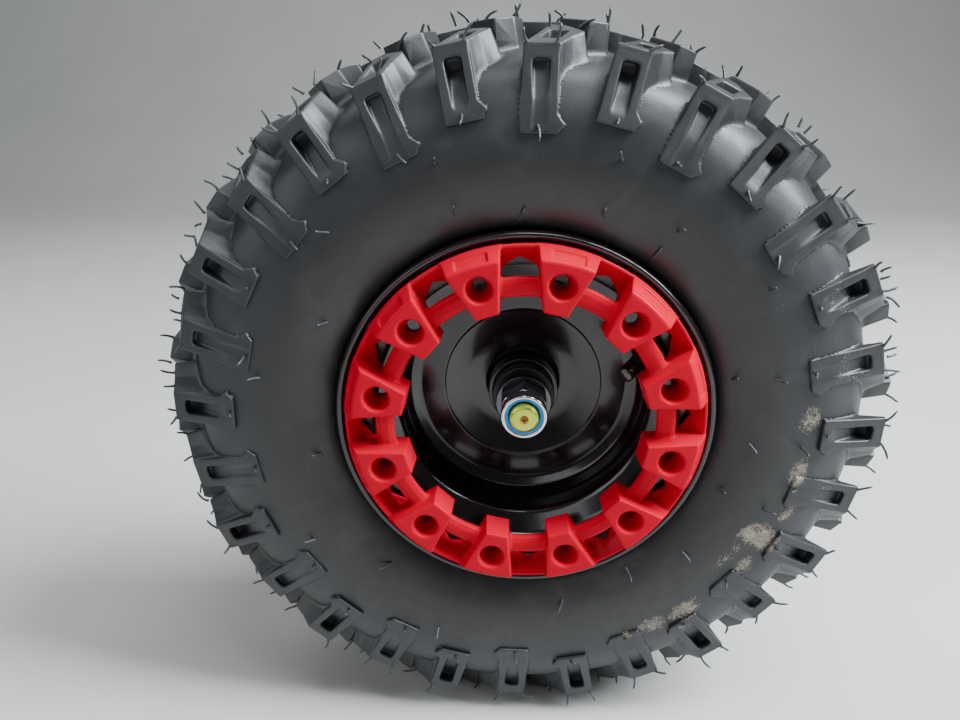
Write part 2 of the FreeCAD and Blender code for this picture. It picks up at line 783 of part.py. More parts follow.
def make_valve(label, steps):
    """Round piece about the valve's own axis from (place along it, radius) steps."""
    body = new_body(label)
    lean = math.radians(SIZE["valve_lean"])
    foot = ("valve_foot_out", "bead_seat_radius - valve_foot_drop")

    def place(along, aside):
        return (foot[0] + " + " + scaled(along, math.cos(lean)) + " + " + scaled(aside, math.sin(lean)),
                foot[1] + " + " + scaled(along, -math.sin(lean)) + " + " + scaled(aside, math.cos(lean)))

    sketch = side_sketch(body, label + "_profile", SIZE["valve_angle"],
                         [place(along, aside) for along, aside in steps])
    ends = [place("0", "0"), place("30.0", "0")]
    axis = sketch.addGeometry(Part.LineSegment(
        *[FreeCAD.Vector(amount(outward(out)), amount(radius), 0) for out, radius in ends]), True)
    for pos, (out, radius) in enumerate(ends, start=1):
        pin_point(sketch, axis, pos, outward(out), radius)
    turn = body.newObject("PartDesign::Revolution", label + "_turn")
    turn.Profile = sketch
    turn.ReferenceAxis = (sketch, ["Axis0"])
    turn.Angle = 360.0
    body.Tip = turn
    return body


def make_valve_stem():
    """Valve stem whose foot follows the rim's slope."""
    body = make_valve("valve_stem", [
        ("0 - 5.0", "0"),
        ("0 - 5.0", "valve_base_radius"),
        ("2.0", "valve_base_radius"),
        ("6.5", "valve_stem_radius"),
        ("valve_stem_length", "valve_stem_radius"),
        ("valve_stem_length", "0"),
    ])
    body.Tip = turned_cut(body, "valve_foot", [
        ("well_out - 12.0", WELL + " - 0.1"),
        ("well_out + 0.05", WELL + " - 0.1"),
        ("seat_start_out + 0.05", "bead_seat_radius - rim_sheet - 0.1"),
        ("flange_web_out", "bead_seat_radius - rim_sheet - 0.1"),
        ("flange_web_out", "bead_seat_radius + 16.0"),
        ("well_out - 12.0", "bead_seat_radius + 16.0"),
    ])
    return body


make_knuckle()
make_steering_arm()
make_stub_axle()
make_sleeve("front_sleeve", "front_bearing_out + 0.3", "washer_out - washer_thickness",
            "axle_radius + 0.1", "sleeve_radius")
make_sleeve("rear_sleeve", "0 - rear_seal_in", "0 - rear_bearing_in - 0.3",
            "axle_radius + 0.1", "sleeve_radius")
make_sleeve("washer", "washer_out - washer_thickness", "washer_out",
            "thread_radius + 0.3", "washer_radius")
make_lock_nut()
make_sleeve("nut_insert", "nut_out - insert_depth", "nut_out - 0.6",
            "thread_radius + 0.05", "insert_radius - 0.02")
make_tyre()
make_rim_barrel()
make_wheel_disc()
make_hub_tube()
make_trim_ring()
make_sleeve("front_bearing", "front_bearing_out - bearing_width", "front_bearing_out",
            "axle_radius + 0.05", "bearing_radius - 0.01")
make_sleeve("rear_bearing", "0 - rear_bearing_in", "bearing_width - rear_bearing_in",
            "axle_radius + 0.05", "bearing_radius - 0.01")
make_sleeve("front_seal", "front_bearing_out", "front_seal_out",
            "seal_bore_radius", "bearing_radius - 0.01")
make_sleeve("rear_seal", "0 - hub_rear_in", "0 - rear_bearing_in",
            "seal_bore_radius", "bearing_radius - 0.01")
make_valve_stem()
make_valve("valve_cap", [
    ("valve_stem_length", "0"),
    ("valve_stem_length", "valve_cap_radius"),
    ("valve_stem_length + valve_cap_length - 0.8", "valve_cap_radius"),
    ("valve_stem_length + valve_cap_length", "valve_cap_radius - 0.8"),
    ("valve_stem_length + valve_cap_length", "0"),
])

doc.recompute()
for thing in doc.Objects:
    state = thing.State
    if "Invalid" in state or "Error" in state:
        raise RuntimeError("%s is %s" % (thing.Name, state))
for thing in doc.Objects:
    if thing.TypeId != "PartDesign::Body":
        continue
    shape = thing.Shape
    if shape.isNull() or not shape.isValid() or len(shape.Solids) != 1:
        raise RuntimeError("%s has no single sound solid" % thing.Label)
    shape.exportStep(os.path.join("parts", thing.Label + ".step"))
    print(thing.Label, round(shape.Volume / 1000.0, 2), "cm3", len(shape.Faces), "faces")
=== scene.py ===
import math
import random

import bpy
import numpy as np
from mathutils import Matrix, Vector


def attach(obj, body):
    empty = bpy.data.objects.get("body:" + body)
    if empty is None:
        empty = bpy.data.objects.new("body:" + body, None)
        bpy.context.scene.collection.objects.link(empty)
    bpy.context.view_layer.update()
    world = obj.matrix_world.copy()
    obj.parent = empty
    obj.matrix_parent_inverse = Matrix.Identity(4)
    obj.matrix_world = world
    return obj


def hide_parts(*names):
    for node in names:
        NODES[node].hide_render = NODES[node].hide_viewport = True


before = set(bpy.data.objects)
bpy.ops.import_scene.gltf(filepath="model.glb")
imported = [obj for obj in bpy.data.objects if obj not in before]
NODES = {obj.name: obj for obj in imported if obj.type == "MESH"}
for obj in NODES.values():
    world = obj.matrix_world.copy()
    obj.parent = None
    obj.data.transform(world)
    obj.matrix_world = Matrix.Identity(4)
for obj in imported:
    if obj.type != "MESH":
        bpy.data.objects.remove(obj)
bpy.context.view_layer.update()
MM = 0.001

# The tyre's mid-plane, in metres
MID_Y = -0.074

# Camera, fitted to the photograph
FOCAL_PX, WIDTH_PX, SENSOR = 744.2, 960.0, 36.0
CAMERA_AT = Vector((-0.0079, -0.4506, 0.1482))
YAW, PITCH, ROLL = (math.radians(a) for a in (-2.32, -20.02, -0.14))

SKY_COLOUR, SKY_STRENGTH = (0.84, 0.90, 1.0, 1), 0.12
LIGHTS = [  # name, place, what it points at, its two sizes in metres, power in watts, colour
    ("key", (0.30, -0.45, 1.8), (0, -0.07, 0.02), (1.0, 0.6), 20, (0.92, 0.96, 1)),
    ("front", (-1.0, -1.9, 1.25), (0, -0.07, 0.05), (1.6, 0.7), 7, (0.90, 0.95, 1)),
    ("fill", (-1.5, -0.8, 0.7), (0, -0.07, 0), (1.0, 0.9), 7, (0.92, 0.96, 1)),
    ("side", (1.2, -0.30, 1.2), (0, -0.10, 0.05), (0.6, 1.2), 108, (0.90, 0.96, 1)),
    ("top", (-0.5, 0.7, 1.5), (0, 0, 0.1), (1.6, 0.9), 12, (1, 1, 1)),
]

# Floor, in metres: flat from near to far, then a round sweep up into a wall
FLOOR_Z, FLOOR_NEAR, FLOOR_FAR, FLOOR_HALF = -0.1783, -3.5, 1.6, 5.0
SWEEP_R, SWEEP_POINTS, WALL_TOP = 1.2, 14, 4.0


def make_camera():
    fwd = Vector((math.sin(YAW) * math.cos(PITCH), math.cos(YAW) * math.cos(PITCH), math.sin(PITCH)))
    level = Vector((math.cos(YAW), -math.sin(YAW), 0))
    above = level.cross(fwd)
    right = math.cos(ROLL) * level + math.sin(ROLL) * above
    up = -math.sin(ROLL) * level + math.cos(ROLL) * above
    data = bpy.data.cameras.new("camera")
    data.sensor_width = SENSOR
    data.lens = FOCAL_PX / WIDTH_PX * SENSOR
    data.clip_start, data.clip_end = 0.01, 50
    cam = bpy.data.objects.new("camera", data)
    bpy.context.scene.collection.objects.link(cam)
    turn = Matrix((right, up, -fwd)).transposed().to_4x4()
    cam.matrix_world = Matrix.Translation(CAMERA_AT) @ turn
    bpy.context.scene.camera = cam


def area_light(name, at, towards, size, power, colour):
    data = bpy.data.lights.new(name, "AREA")
    data.shape = "RECTANGLE"
    data.size, data.size_y = size
    data.energy = power
    data.color = colour
    lamp = bpy.data.objects.new(name, data)
    bpy.context.scene.collection.objects.link(lamp)
    lamp.location = at
    lamp.rotation_mode = "QUATERNION"
    lamp.rotation_quaternion = (Vector(towards) - Vector(at)).to_track_quat("-Z", "Y")


def make_lights():
    world = bpy.data.worlds.new("studio")
    world.use_nodes = True
    back = world.node_tree.nodes["Background"]
    back.inputs["Color"].default_value = SKY_COLOUR
    back.inputs["Strength"].default_value = SKY_STRENGTH
    bpy.context.scene.world = world
    for row in LIGHTS:
        area_light(*row)


def make_floor():
    line = [(FLOOR_NEAR, 0.0), (FLOOR_FAR, 0.0)]
    for a in np.linspace(0.1, math.pi / 2, SWEEP_POINTS):
        line.append((FLOOR_FAR + SWEEP_R * math.sin(a), SWEEP_R - SWEEP_R * math.cos(a)))
    line.append((FLOOR_FAR + SWEEP_R, WALL_TOP))
    points = [(x, y, z) for y, z in line for x in (-FLOOR_HALF, FLOOR_HALF)]
    faces = [(2 * i, 2 * i + 1, 2 * i + 3, 2 * i + 2) for i in range(len(line) - 1)]
    mesh = bpy.data.meshes.new("floor")
    mesh.from_pydata(points, [], faces)
    mesh.shade_smooth()
    floor = bpy.data.objects.new("floor", mesh)
    floor.location.z = FLOOR_Z
    bpy.context.scene.collection.objects.link(floor)
    mesh.materials.append(make_floor_material())


class Nodes:
    """Short calls for one material's node tree."""

    def __init__(self, name):
        self.material = bpy.data.materials.new(name)
        self.material.use_nodes = True
        self.tree = self.material.node_tree
        self.shader = self.tree.nodes["Principled BSDF"]
        self.coords = self.add("ShaderNodeTexCoord").outputs["Object"]

    def add(self, kind, **values):
        node = self.tree.nodes.new(kind)
        for key, value in values.items():
            setattr(node, key, value)
        return node

    def link(self, a, b):
        self.tree.links.new(a, b)

    def set(self, **values):
        for key, value in values.items():
            self.shader.inputs[key.replace("_", " ")].default_value = value

    def place(self):
        """Sockets of y and of the angle and radius about the wheel's axis."""
        apart = self.add("ShaderNodeSeparateXYZ")
        self.link(self.coords, apart.inputs["Vector"])
        x, y, z = (apart.outputs[k] for k in "XYZ")
        squares = self.math("ADD", self.math("MULTIPLY", x, x), self.math("MULTIPLY", z, z))
        return y, self.math("ARCTAN2", x, z), self.math("SQRT", squares)

    def noise(self, scale, detail=4.0, rough=0.55, distortion=0.0):
        node = self.add("ShaderNodeTexNoise")
        node.inputs["Scale"].default_value = scale
        node.inputs["Detail"].default_value = detail
        node.inputs["Roughness"].default_value = rough
        node.inputs["Distortion"].default_value = distortion
        self.link(self.coords, node.inputs["Vector"])
        return node.outputs["Fac"]

    def ramp(self, source, stops):
        node = self.add("ShaderNodeValToRGB")
        while len(node.color_ramp.elements) < len(stops):
            node.color_ramp.elements.new(0.5)
        for element, (at, colour) in zip(node.color_ramp.elements, stops):
            element.position = at
            element.color = (*colour, 1)
        self.link(source, node.inputs["Fac"])
        return node.outputs["Color"]

    def spread(self, source, low, high, to_low, to_high):
        node = self.add("ShaderNodeMapRange")
        for key, value in (("From Min", low), ("From Max", high), ("To Min", to_low), ("To Max", to_high)):
            node.inputs[key].default_value = value
        self.link(source, node.inputs["Value"])
        return node.outputs["Result"]

    def math(self, kind, a, b=None):
        node = self.add("ShaderNodeMath", operation=kind)
        for i, value in enumerate((a, b)):
            if value is None:
                continue
            if isinstance(value, (int, float)):
                node.inputs[i].default_value = value
            else:
                self.link(value, node.inputs[i])
        return node.outputs["Value"]

    def mix(self, share, a, b):
        node = self.add("ShaderNodeMix", data_type="RGBA")
        for socket, value in (("Factor", share), ("A", a), ("B", b)):
            target = [s for s in node.inputs if s.name == socket and s.enabled][0]
            if isinstance(value, bpy.types.NodeSocket):
                self.link(value, target)
            else:
                target.default_value = (*value, 1)
        return [s for s in node.outputs if s.enabled][0]

    def bump(self, height, distance, strength, normal=None):
        node = self.add("ShaderNodeBump")
        node.inputs["Strength"].default_value = strength
        node.inputs["Distance"].default_value = distance
        self.link(height, node.inputs["Height"])
        if normal is not None:
            self.link(normal, node.inputs["Normal"])
        self.link(node.outputs["Normal"], self.shader.inputs["Normal"])
        return node.outputs["Normal"]


def make_floor_material():
    m = Nodes("floor_pale")
    shades = [(0.3, (0.50, 0.49, 0.475)), (0.75, (0.55, 0.54, 0.525))]
    m.link(m.ramp(m.noise(3.0, 6), shades), m.shader.inputs["Base Color"])
    m.set(Roughness=0.8)
    m.bump(m.noise(260, 3), 0.0004, 0.2)
    return m.material


# Tyre's colours, and the places in metres where one gives way to another
RUBBER_DARK = [(0.3, (0.0085, 0.0085, 0.0095)), (0.7, (0.0145, 0.0148, 0.016))]
# Painted light: the rubber turns lighter and bluer from the side wall out to the tread, as if lit from
# above
RUBBER_LIT_TREAD = [(0.3, (0.0145, 0.0158, 0.018)), (0.7, (0.022, 0.024, 0.028))]
LIT_TREAD_RADII = (0.120, 0.142)
FILM_COLOUR, FILM_SHARE = (0.16, 0.15, 0.135), 0.10
MUD_COLOURS = [(0.35, (0.22, 0.185, 0.145)), (0.65, (0.38, 0.34, 0.28))]
MUD_SHARE, MUD_Y = 0.85, (-0.118, -0.112)
MUD_PATCHES = [  # angle and radius of each on the side wall, its half sizes, strength
    (88.5, 132, 3.5, 6, 0.8), (100, 132, 3.5, 5, 0.9), (110, 135.5, 2.5, 4, 0.8),
    (117, 130, 3.5, 11, 1.0), (124, 134, 2.5, 5, 0.8), (124.5, 124, 6, 4, 0.5),
    (141, 133, 5, 6, 0.9), (149, 132, 4, 5, 0.9), (155, 132, 2, 4, 0.6),
    (66, 150, 4, 9, 0.35), (79.5, 150, 3.5, 9, 0.45), (104, 150, 3.5, 9, 0.35),
]


def mud_mask(m, y, angle, radius):
    """Dry mud: soft patches on the outer side wall, broken up by noise into grains."""
    patchy = m.noise(130, 5, 0.7, distortion=0.5)
    flecks = m.noise(1300, 2, 0.6)
    total = None
    for at, r, half_angle, half_r, strength in MUD_PATCHES:
        da = m.math("DIVIDE", m.math("SUBTRACT", angle, math.radians(at)), math.radians(half_angle))
        dr = m.math("DIVIDE", m.math("SUBTRACT", radius, r * MM), half_r * MM)
        away = m.math("ADD", m.math("MULTIPLY", da, da), m.math("MULTIPLY", dr, dr))
        one = m.math("MULTIPLY", m.spread(away, 0.0, 1.6, 1.0, 0.0), strength)
        total = one if total is None else m.math("MAXIMUM", total, one)
    total = m.math("MULTIPLY", total, m.spread(y, *MUD_Y, 1.0, 0.0))
    density = m.spread(m.math("ADD", total, m.math("MULTIPLY", patchy, 1.7)), 1.0, 1.75, 0.0, 1.0)
    grains = m.math("ADD", m.math("MULTIPLY", density, 0.45), flecks)
    grains = m.spread(grains, 0.72, 0.93, 0.0, MUD_SHARE)
    return m.math("MULTIPLY", grains, m.spread(density, 0.02, 0.2, 0.0, 1.0))


def make_rubber():
    m = Nodes("tyre_rubber")
    y, angle, radius = m.place()
    broad = m.noise(11, 5, 0.6, distortion=0.6)
    middle = m.noise(70, 4)
    streak = m.noise(38, 3, 0.7, distortion=1.2)
    # painted light: lighter, bluer rubber towards the tread, as if lit from above
    lit_tread = m.spread(radius, *LIT_TREAD_RADII, 0.0, 1.0)
    base = m.mix(lit_tread, m.ramp(broad, RUBBER_DARK), m.ramp(broad, RUBBER_LIT_TREAD))
    film = m.math("ADD", streak, m.math("MULTIPLY", middle, 0.5))
    dusty = m.mix(m.spread(film, 0.78, 1.1, 0.0, FILM_SHARE), base, FILM_COLOUR)
    mud = mud_mask(m, y, angle, radius)
    m.link(m.mix(mud, dusty, m.ramp(m.noise(420, 3), MUD_COLOURS)), m.shader.inputs["Base Color"])
    rough = m.math("ADD", m.spread(middle, 0.3, 0.7, 0.40, 0.52), m.math("MULTIPLY", mud, 0.35))
    m.link(rough, m.shader.inputs["Roughness"])
    m.set(Specular_IOR_Level=0.55)
    first = m.bump(m.noise(900, 3), 0.0002, 0.3)
    m.bump(m.math("ADD", mud, m.math("MULTIPLY", broad, 0.6)), 0.0004, 0.5, first)
    return m.material


SPECK_COLOUR = (0.30, 0.28, 0.26)


def make_gloss(name, colour, variation, rough, coat, specular=0.5, specks=0.0):
    m = Nodes(name)
    light = tuple(c * variation for c in colour)
    base = m.ramp(m.noise(30, 3), [(0.3, colour), (0.75, light)])
    if specks:
        base = m.mix(m.spread(m.noise(700, 2, 0.5), 0.66, 0.72, 0.0, specks), base, SPECK_COLOUR)
    m.link(base, m.shader.inputs["Base Color"])
    m.link(m.spread(m.noise(160, 4), 0.3, 0.7, rough * 0.8, rough * 1.25), m.shader.inputs["Roughness"])
    m.set(Coat_Weight=coat, Coat_Roughness=0.08, Specular_IOR_Level=specular)
    m.bump(m.noise(220, 2), 0.0001, 0.12)
    return m.material


# Metres: radii where the axle's brown core ends, and y where the painted shade on the nut's foot begins,
# dark on through the washer behind it
CORE_RADII, NUT_SHADE_Y = (0.0017, 0.0024), (-0.1085, -0.1060)
METAL_GRAIN = 220


def make_metal(name, colour, other, rough, core=None, foot=None):
    m = Nodes(name)
    base = m.ramp(m.noise(60, 5), [(0.3, colour), (0.7, other)])
    y, _, radius = m.place()
    if core:
        base = m.mix(m.spread(radius, *CORE_RADII, 1.0, 0.0), base, core)
    # foot: painted shade, darker towards the hub, standing in for the hub's shadow on the nut's foot and
    # the washer
    if foot:
        base = m.mix(m.spread(y, *NUT_SHADE_Y, 0.0, 1.0), base, foot)
    m.link(base, m.shader.inputs["Base Color"])
    varied = m.spread(m.noise(METAL_GRAIN, 4), 0.3, 0.7, rough * 0.75, rough * 1.3)
    m.link(varied, m.shader.inputs["Roughness"])
    m.set(Metallic=1.0)
    m.bump(m.noise(METAL_GRAIN * 2, 3), 0.00006, 0.25)
    return m.material


MATERIALS = {
    "tyre": make_rubber(),
    # near-black paint whose red cast is a painted reflection of the red ring
    "rim_paint": make_gloss("rim_paint_black", (0.0085, 0.0034, 0.0038), 1.6, 0.20, 0.35, specks=0.08),
    "ring_red": make_gloss("ring_red_gloss", (0.50, 0.0001, 0.018), 1.06, 0.28, 0.08, specular=0.02),
    # its foot colour is painted shade: the hub's shadow on the nut's foot and on the washer
    "nut_zinc": make_metal("zinc_bright", (0.74, 0.75, 0.77), (0.60, 0.62, 0.65), 0.17,
                           foot=(0.10, 0.10, 0.11)),
    "axle_zinc": make_metal("zinc_yellow", (0.56, 0.60, 0.07), (0.50, 0.60, 0.12), 0.36,
                            core=(0.30, 0.12, 0.03)),
    "steel": make_metal("steel_machined", (0.42, 0.42, 0.43), (0.5, 0.5, 0.5), 0.34),
    "nylon_blue": make_gloss("nylon_blue", (0.02, 0.24, 0.80), 1.3, 0.30, 0.1),
    "black_rubber": make_gloss("seal_rubber", (0.012, 0.012, 0.012), 1.5, 0.5, 0.0),
    "cap_plastic": make_gloss("cap_plastic", (0.008, 0.008, 0.009), 1.5, 0.16, 0.6),
    "knuckle_paint": make_gloss("knuckle_paint", (0.012, 0.012, 0.013), 1.5, 0.35, 0.1, specks=0.15),
}

DRESS = [  # CAD node that stays, the record's slot, bevel width in mm
    ("front_bearing", "steel", 0.3),
    ("rear_bearing", "steel", 0.3),
    ("front_sleeve", "steel", 0.2),
    ("rear_sleeve", "steel", 0.2),
    ("knuckle", "knuckle_paint", 0.8),
    ("steering_arm", "knuckle_paint", 0.8),
]


def dress(name, slot, width):
    """Material, clean faces and small bevels for a CAD node."""
    node = NODES[name]
    node.data.materials.clear()
    node.data.materials.append(MATERIALS[slot])
    weld = node.modifiers.new("weld", "WELD")
    weld.merge_threshold = 0.000002
    flat = node.modifiers.new("flat", "DECIMATE")
    flat.decimate_type = "DISSOLVE"
    flat.angle_limit = math.radians(0.4)
    bevel = node.modifiers.new("bevel", "BEVEL")
    bevel.width = width * MM
    bevel.segments = 2
    bevel.limit_method = "ANGLE"
    bevel.angle_limit = math.radians(32)
    bevel.use_clamp_overlap = True
    bevel.harden_normals = False
    normal = node.modifiers.new("normal", "WEIGHTED_NORMAL")
    normal.keep_sharp = True
    node.data.shade_smooth()


# Tyre, in mm: out is the distance outward from the mid-plane, r the radius. A lug's own frame
# has t the way clockwise, z up along the lug's radius, and out.
SIDE_PROFILE = [  # out, r of the carcass from the crown down to the bead
    (0, 167.4), (16, 167.0), (30, 165.0), (41, 161.4), (49.5, 155.2), (54.2, 147), (56.6, 139),
    (57.6, 129), (58.1, 119), (57.2, 110), (55.3, 103), (52.4, 96.4), (49.0, 92.0), (45.8, 89.6),
    (44.2, 87.0), (44.2, 78),
]
INNER_PROFILE = [  # out, r of its inner side from the bead back to the crown
    (33.4, 76.3), (33.4, 80), (45.6, 92.6), (47.2, 104), (46.2, 140), (38, 150), (26, 155.4), (0, 157),
]
TREADS = [  # name, side, triangles of each lug
    ("tread_outer", 1, 6900),
    ("tread_far", -1, 3200),
]
PITCHES = 14
LUG_KINDS = {  # angle of the lug, then radii of its face's top corner, foot, slot top and slot end
    "long": (1.5, 165.8, 131.0, 160.0, 134.0),
    "short": (14.357, 168.8, 137.9, 163.4, 142.5),
}
FAR_SIDE_TURN = 180.0 / (2 * PITCHES)

# Lug: its face down the side wall, then its shoulder that leans towards the centre block
FACE_OUT, FOOT_OUT, FACE_BACK_R = 52.0, 58.9, 149.0
LUG_LEAN, LUG_HALF, LEFT_TAPER = 10.4 / 18.0, 7.5, 0.016
FLARE, FLARE_MID, FLARE_TOP = 3.2, 3.9, 7.7
INNER_OUT, CREST_R, ROOT_R = 34.0, 173.8, 158.0
SHOULDER_UNDER = [(47.0, 152.0), (52.0, 148.0)]  # out, r of its under side, inside the carcass
SHOULDER_PLAN = [  # out and t of the shoulder's top seen from outside
    (62, -7.4), (52, -7.4), (33, 3.8), (33, 9.0), (39.6, 17.6), (40.6, 17.2), (44.9, 11.9), (52, 7.4),
    (62, 7.4),
]
FLANK_SLOPE, TWIST_SLOPE, TWIST_OUT, TWIST_DROP = 0.04, 0.17, 38.5, 13
# Centre block, turned in its place and with a pointed prow
CENTRE_TURN, CENTRE_HALF, CENTRE_LEAN, CENTRE_SLOPE = 5.75, 10.5, 3.9 / 29.0, 0.07
CENTRE_TOP = [(42.0, CREST_R + 2.6), (15.3, 177.7), (5.0, 177.7)]  # out and height
TREAD_R, PROW_OUT, PROW_AT, PROW_SLOPE = 177.8, 37.6, 1.8, 0.05
PROW_SIDES = [(0.55, 0.88), (-1.3, 0.61)]  # how each side runs back, and its scale as a distance
# Slot in the face and pocket in the top
SLOT_HALF, SLOT_TAPER, SLOT_DRAFT, SLOT_CORNER = 3.95, 0.034, 0.05, 2.2
SLOT_FLOOR, SLOT_RUN_OUT, SLOT_RISE, SLOT_RISE_R = 47.0, 57.9, 5.3, 150.5
POCKET_HALF, POCKET_STRETCH, POCKET_OUTS, POCKET_FLOOR_R = 3.6, 1.15, (39.0, 47.0), 164.6
# Rounding: the forms' edges, the joints between them, and the fillet at the carcass
EDGE, JOINT, SLOT_EDGE, POCKET_EDGE, PROW_EDGE = 0.8, 0.5, 0.7, 0.6, 0.6
FOOT_FILLET, SIDE_FILLET, SLOT_FILLET = 0.8, 1.8, 2.2
# A patch of tread lies this far above the carcass, ends past the fillet, and dips no deeper
PATCH_RISE, PATCH_MARGIN, PATCH_DIP = 0.03, 1.0, 0.14
PATCH_LOW, PATCH_HIGH = (-10.57, 126.07, 2.63), (35.5, 180.5, 61.0)
TABLE_RADII, TABLE_STEP = (120, 190), 0.25


def smooth_line(points, per_span):
    """Catmull-Rom line through points."""
    p = np.array([2 * np.array(points[0]) - np.array(points[1]), *points,
                  2 * np.array(points[-1]) - np.array(points[-2])], float)
    out = []
    for i in range(1, len(p) - 2):
        for k in range(per_span):
            u = k / per_span
            out.append(0.5 * (2 * p[i] + (p[i + 1] - p[i - 1]) * u
                              + (2 * p[i - 1] - 5 * p[i] + 4 * p[i + 1] - p[i + 2]) * u * u
                              + (3 * p[i] - p[i - 1] - 3 * p[i + 1] + p[i + 2]) * u ** 3))
    out.append(p[-2])
    return np.array(out)


def polygon_distance(x, y, corners):
    """Signed distance to a closed polygon, negative inside."""
    corners = np.array(corners, float)
    best = np.full(np.broadcast(x, y).shape, 1e9)
    sign = np.ones_like(best)
    for a, b in zip(corners, np.roll(corners, 1, axis=0)):
        ex, ey = b - a
        wx, wy = x - a[0], y - a[1]
        h = np.clip((wx * ex + wy * ey) / (ex * ex + ey * ey), 0, 1)
        best = np.minimum(best, (wx - ex * h) ** 2 + (wy - ey * h) ** 2)
        c1, c2, c3 = y >= a[1], y < b[1], ex * wy > ey * wx
        turn = (c1 & c2 & c3) | (~c1 & ~c2 & ~c3)
        sign = np.where(turn, -sign, sign)
    return sign * np.sqrt(best)


def soft_max(a, b, k):
    """The larger of two fields, rounded over k where they meet."""
    h = np.maximum(k - np.abs(a - b), 0) / k
    return np.maximum(a, b) + h * h * k / 4


def soft_min(a, b, k):
    return -soft_max(-a, -b, k)


def smooth_min(a, b, k):
    """As soft_min, with softer ends."""
    return np.minimum(a, b) - k * np.maximum(1 - np.abs(a - b) / k, 0) ** 3 / 6


def surface_nets(field, low, step):
    """Points and quads of the surface where the sampled field is 0."""
    size = np.array(field.shape) - 1
    total = np.zeros((*size, 3))
    count = np.zeros(size)

    def corner(offset):
        return field[tuple(slice(o, o + n) for o, n in zip(offset, size))]

    for axis in range(3):
        for u in (0, 1):
            for v in (0, 1):
                a = [0, 0, 0]
                a[(axis + 1) % 3], a[(axis + 2) % 3] = u, v
                b = list(a)
                b[axis] = 1
                fa, fb = corner(a), corner(b)
                cross = (fa < 0) != (fb < 0)
                share = np.where(cross, fa / np.where(cross, fa - fb, 1), 0)
                for k in range(3):
                    total[..., k] += cross * (share if k == axis else a[k])
                count += cross
    used = count > 0
    number = np.full(size, -1)
    number[used] = np.arange(used.sum())
    points = (np.argwhere(used) + total[used] / count[used][:, None]) * step + low
    inside = field < 0
    quads = []
    for axis in range(3):
        o1, o2 = (axis + 1) % 3, (axis + 2) % 3
        cut = [slice(1, -1)] * 3
        cut[axis] = slice(0, -1)
        ahead = list(cut)
        ahead[axis] = slice(1, None)
        here = inside[tuple(cut)]
        there = inside[tuple(ahead)]
        at = np.argwhere(here != there)
        node = at + [0 if k == axis else 1 for k in range(3)]
        ring = []
        for d1, d2 in ((-1, -1), (0, -1), (0, 0), (-1, 0)):
            cell = node.copy()
            cell[:, o1] += d1
            cell[:, o2] += d2
            ring.append(number[tuple(cell.T)])
        ring = np.stack(ring, 1)
        back = ~here[tuple(at.T)]
        ring[back] = ring[back][:, ::-1]
        quads.append(ring)
    return points, np.concatenate(quads)


def face_block(t, z, out, corner, foot):
    """The lug's face down the side wall, with its foot flared to the right."""
    back = FACE_OUT - 3
    outline = [(FOOT_OUT, foot), (FACE_OUT, corner), (back, corner + 0.8), (back, FACE_BACK_R),
               (FOOT_OUT - 4, foot)]
    fading = np.clip((foot + FLARE_TOP - z) / (FLARE_TOP - FLARE_MID), 0, 1)
    flare = fading * np.clip((z - foot) / FLARE_MID + 0.1, 0, 1)
    right = t - LUG_HALF + 0.15 - FLARE * flare
    left = -t - LUG_HALF - LEFT_TAPER * (corner - z)
    return soft_max(polygon_distance(out, z, outline), np.maximum(right, left), EDGE)


def shoulder_block(t, z, out, corner):
    """The lug's shoulder, whose right flank twists back as it goes down."""
    outline = [(FACE_OUT, corner), (INNER_OUT, CREST_R), (INNER_OUT, ROOT_R), *SHOULDER_UNDER]
    lean = np.maximum(FACE_OUT - out, 0) * LUG_LEAN
    drop = np.clip(CREST_R - 2 - z, 0, TWIST_DROP)
    twist = np.clip((FACE_OUT - 2 - out) / 6, 0, 1) * np.clip((t - lean) / 8, 0, 1)
    twist = twist * np.clip((out - TWIST_OUT) / 1.5, 0, 1)
    flank = polygon_distance(out, t, SHOULDER_PLAN) - (FLANK_SLOPE + TWIST_SLOPE * twist) * drop
    return soft_max(polygon_distance(out, z, outline), flank, EDGE)


def centre_block(t, z, out):
    """The block between the shoulder and the mid-plane."""
    turn = math.radians(CENTRE_TURN)
    across = t * math.cos(turn) - z * math.sin(turn)
    height = t * math.sin(turn) + z * math.cos(turn)
    outline = [*CENTRE_TOP, (CENTRE_TOP[-1][0], ROOT_R), (CENTRE_TOP[0][0], ROOT_R)]
    drop = np.maximum(TREAD_R - 2 - height, 0)
    sides = [(out - PROW_OUT + back * (across - PROW_AT)) * scale for back, scale in PROW_SIDES]
    prow = np.maximum(*sides) - PROW_SLOPE * drop
    lean = (INNER_OUT - out) * CENTRE_LEAN
    flank = np.abs(across - lean) - CENTRE_HALF - CENTRE_SLOPE * drop
    return soft_max(soft_max(polygon_distance(out, height, outline), prow, PROW_EDGE), flank, EDGE)


def face_slot(t, z, out, slot_top, slot_end):
    """The slot in the face, down to the carcass, with round corners and walls that close in."""
    half = SLOT_HALF - SLOT_TAPER * (slot_top - z) - SLOT_DRAFT * np.maximum(57 - out, 0)
    sides = soft_max(np.abs(t) - half, z - slot_top, SLOT_CORNER)
    rise = SLOT_RISE / (SLOT_RISE_R - slot_end)
    floor = np.maximum((SLOT_RUN_OUT - rise * (z - slot_end) - out) * 0.9, SLOT_FLOOR - out)
    return soft_max(sides, floor, 1.2)


def top_pocket(t, z, out):
    """The pocket in the shoulder's top."""
    lean = (FACE_OUT - out) * LUG_LEAN
    ends = np.maximum(out - POCKET_OUTS[1], POCKET_OUTS[0] - out)
    walls = soft_max(np.abs(t - lean) / POCKET_STRETCH - POCKET_HALF, ends, 1.0)
    return np.maximum(walls, POCKET_FLOOR_R - z)


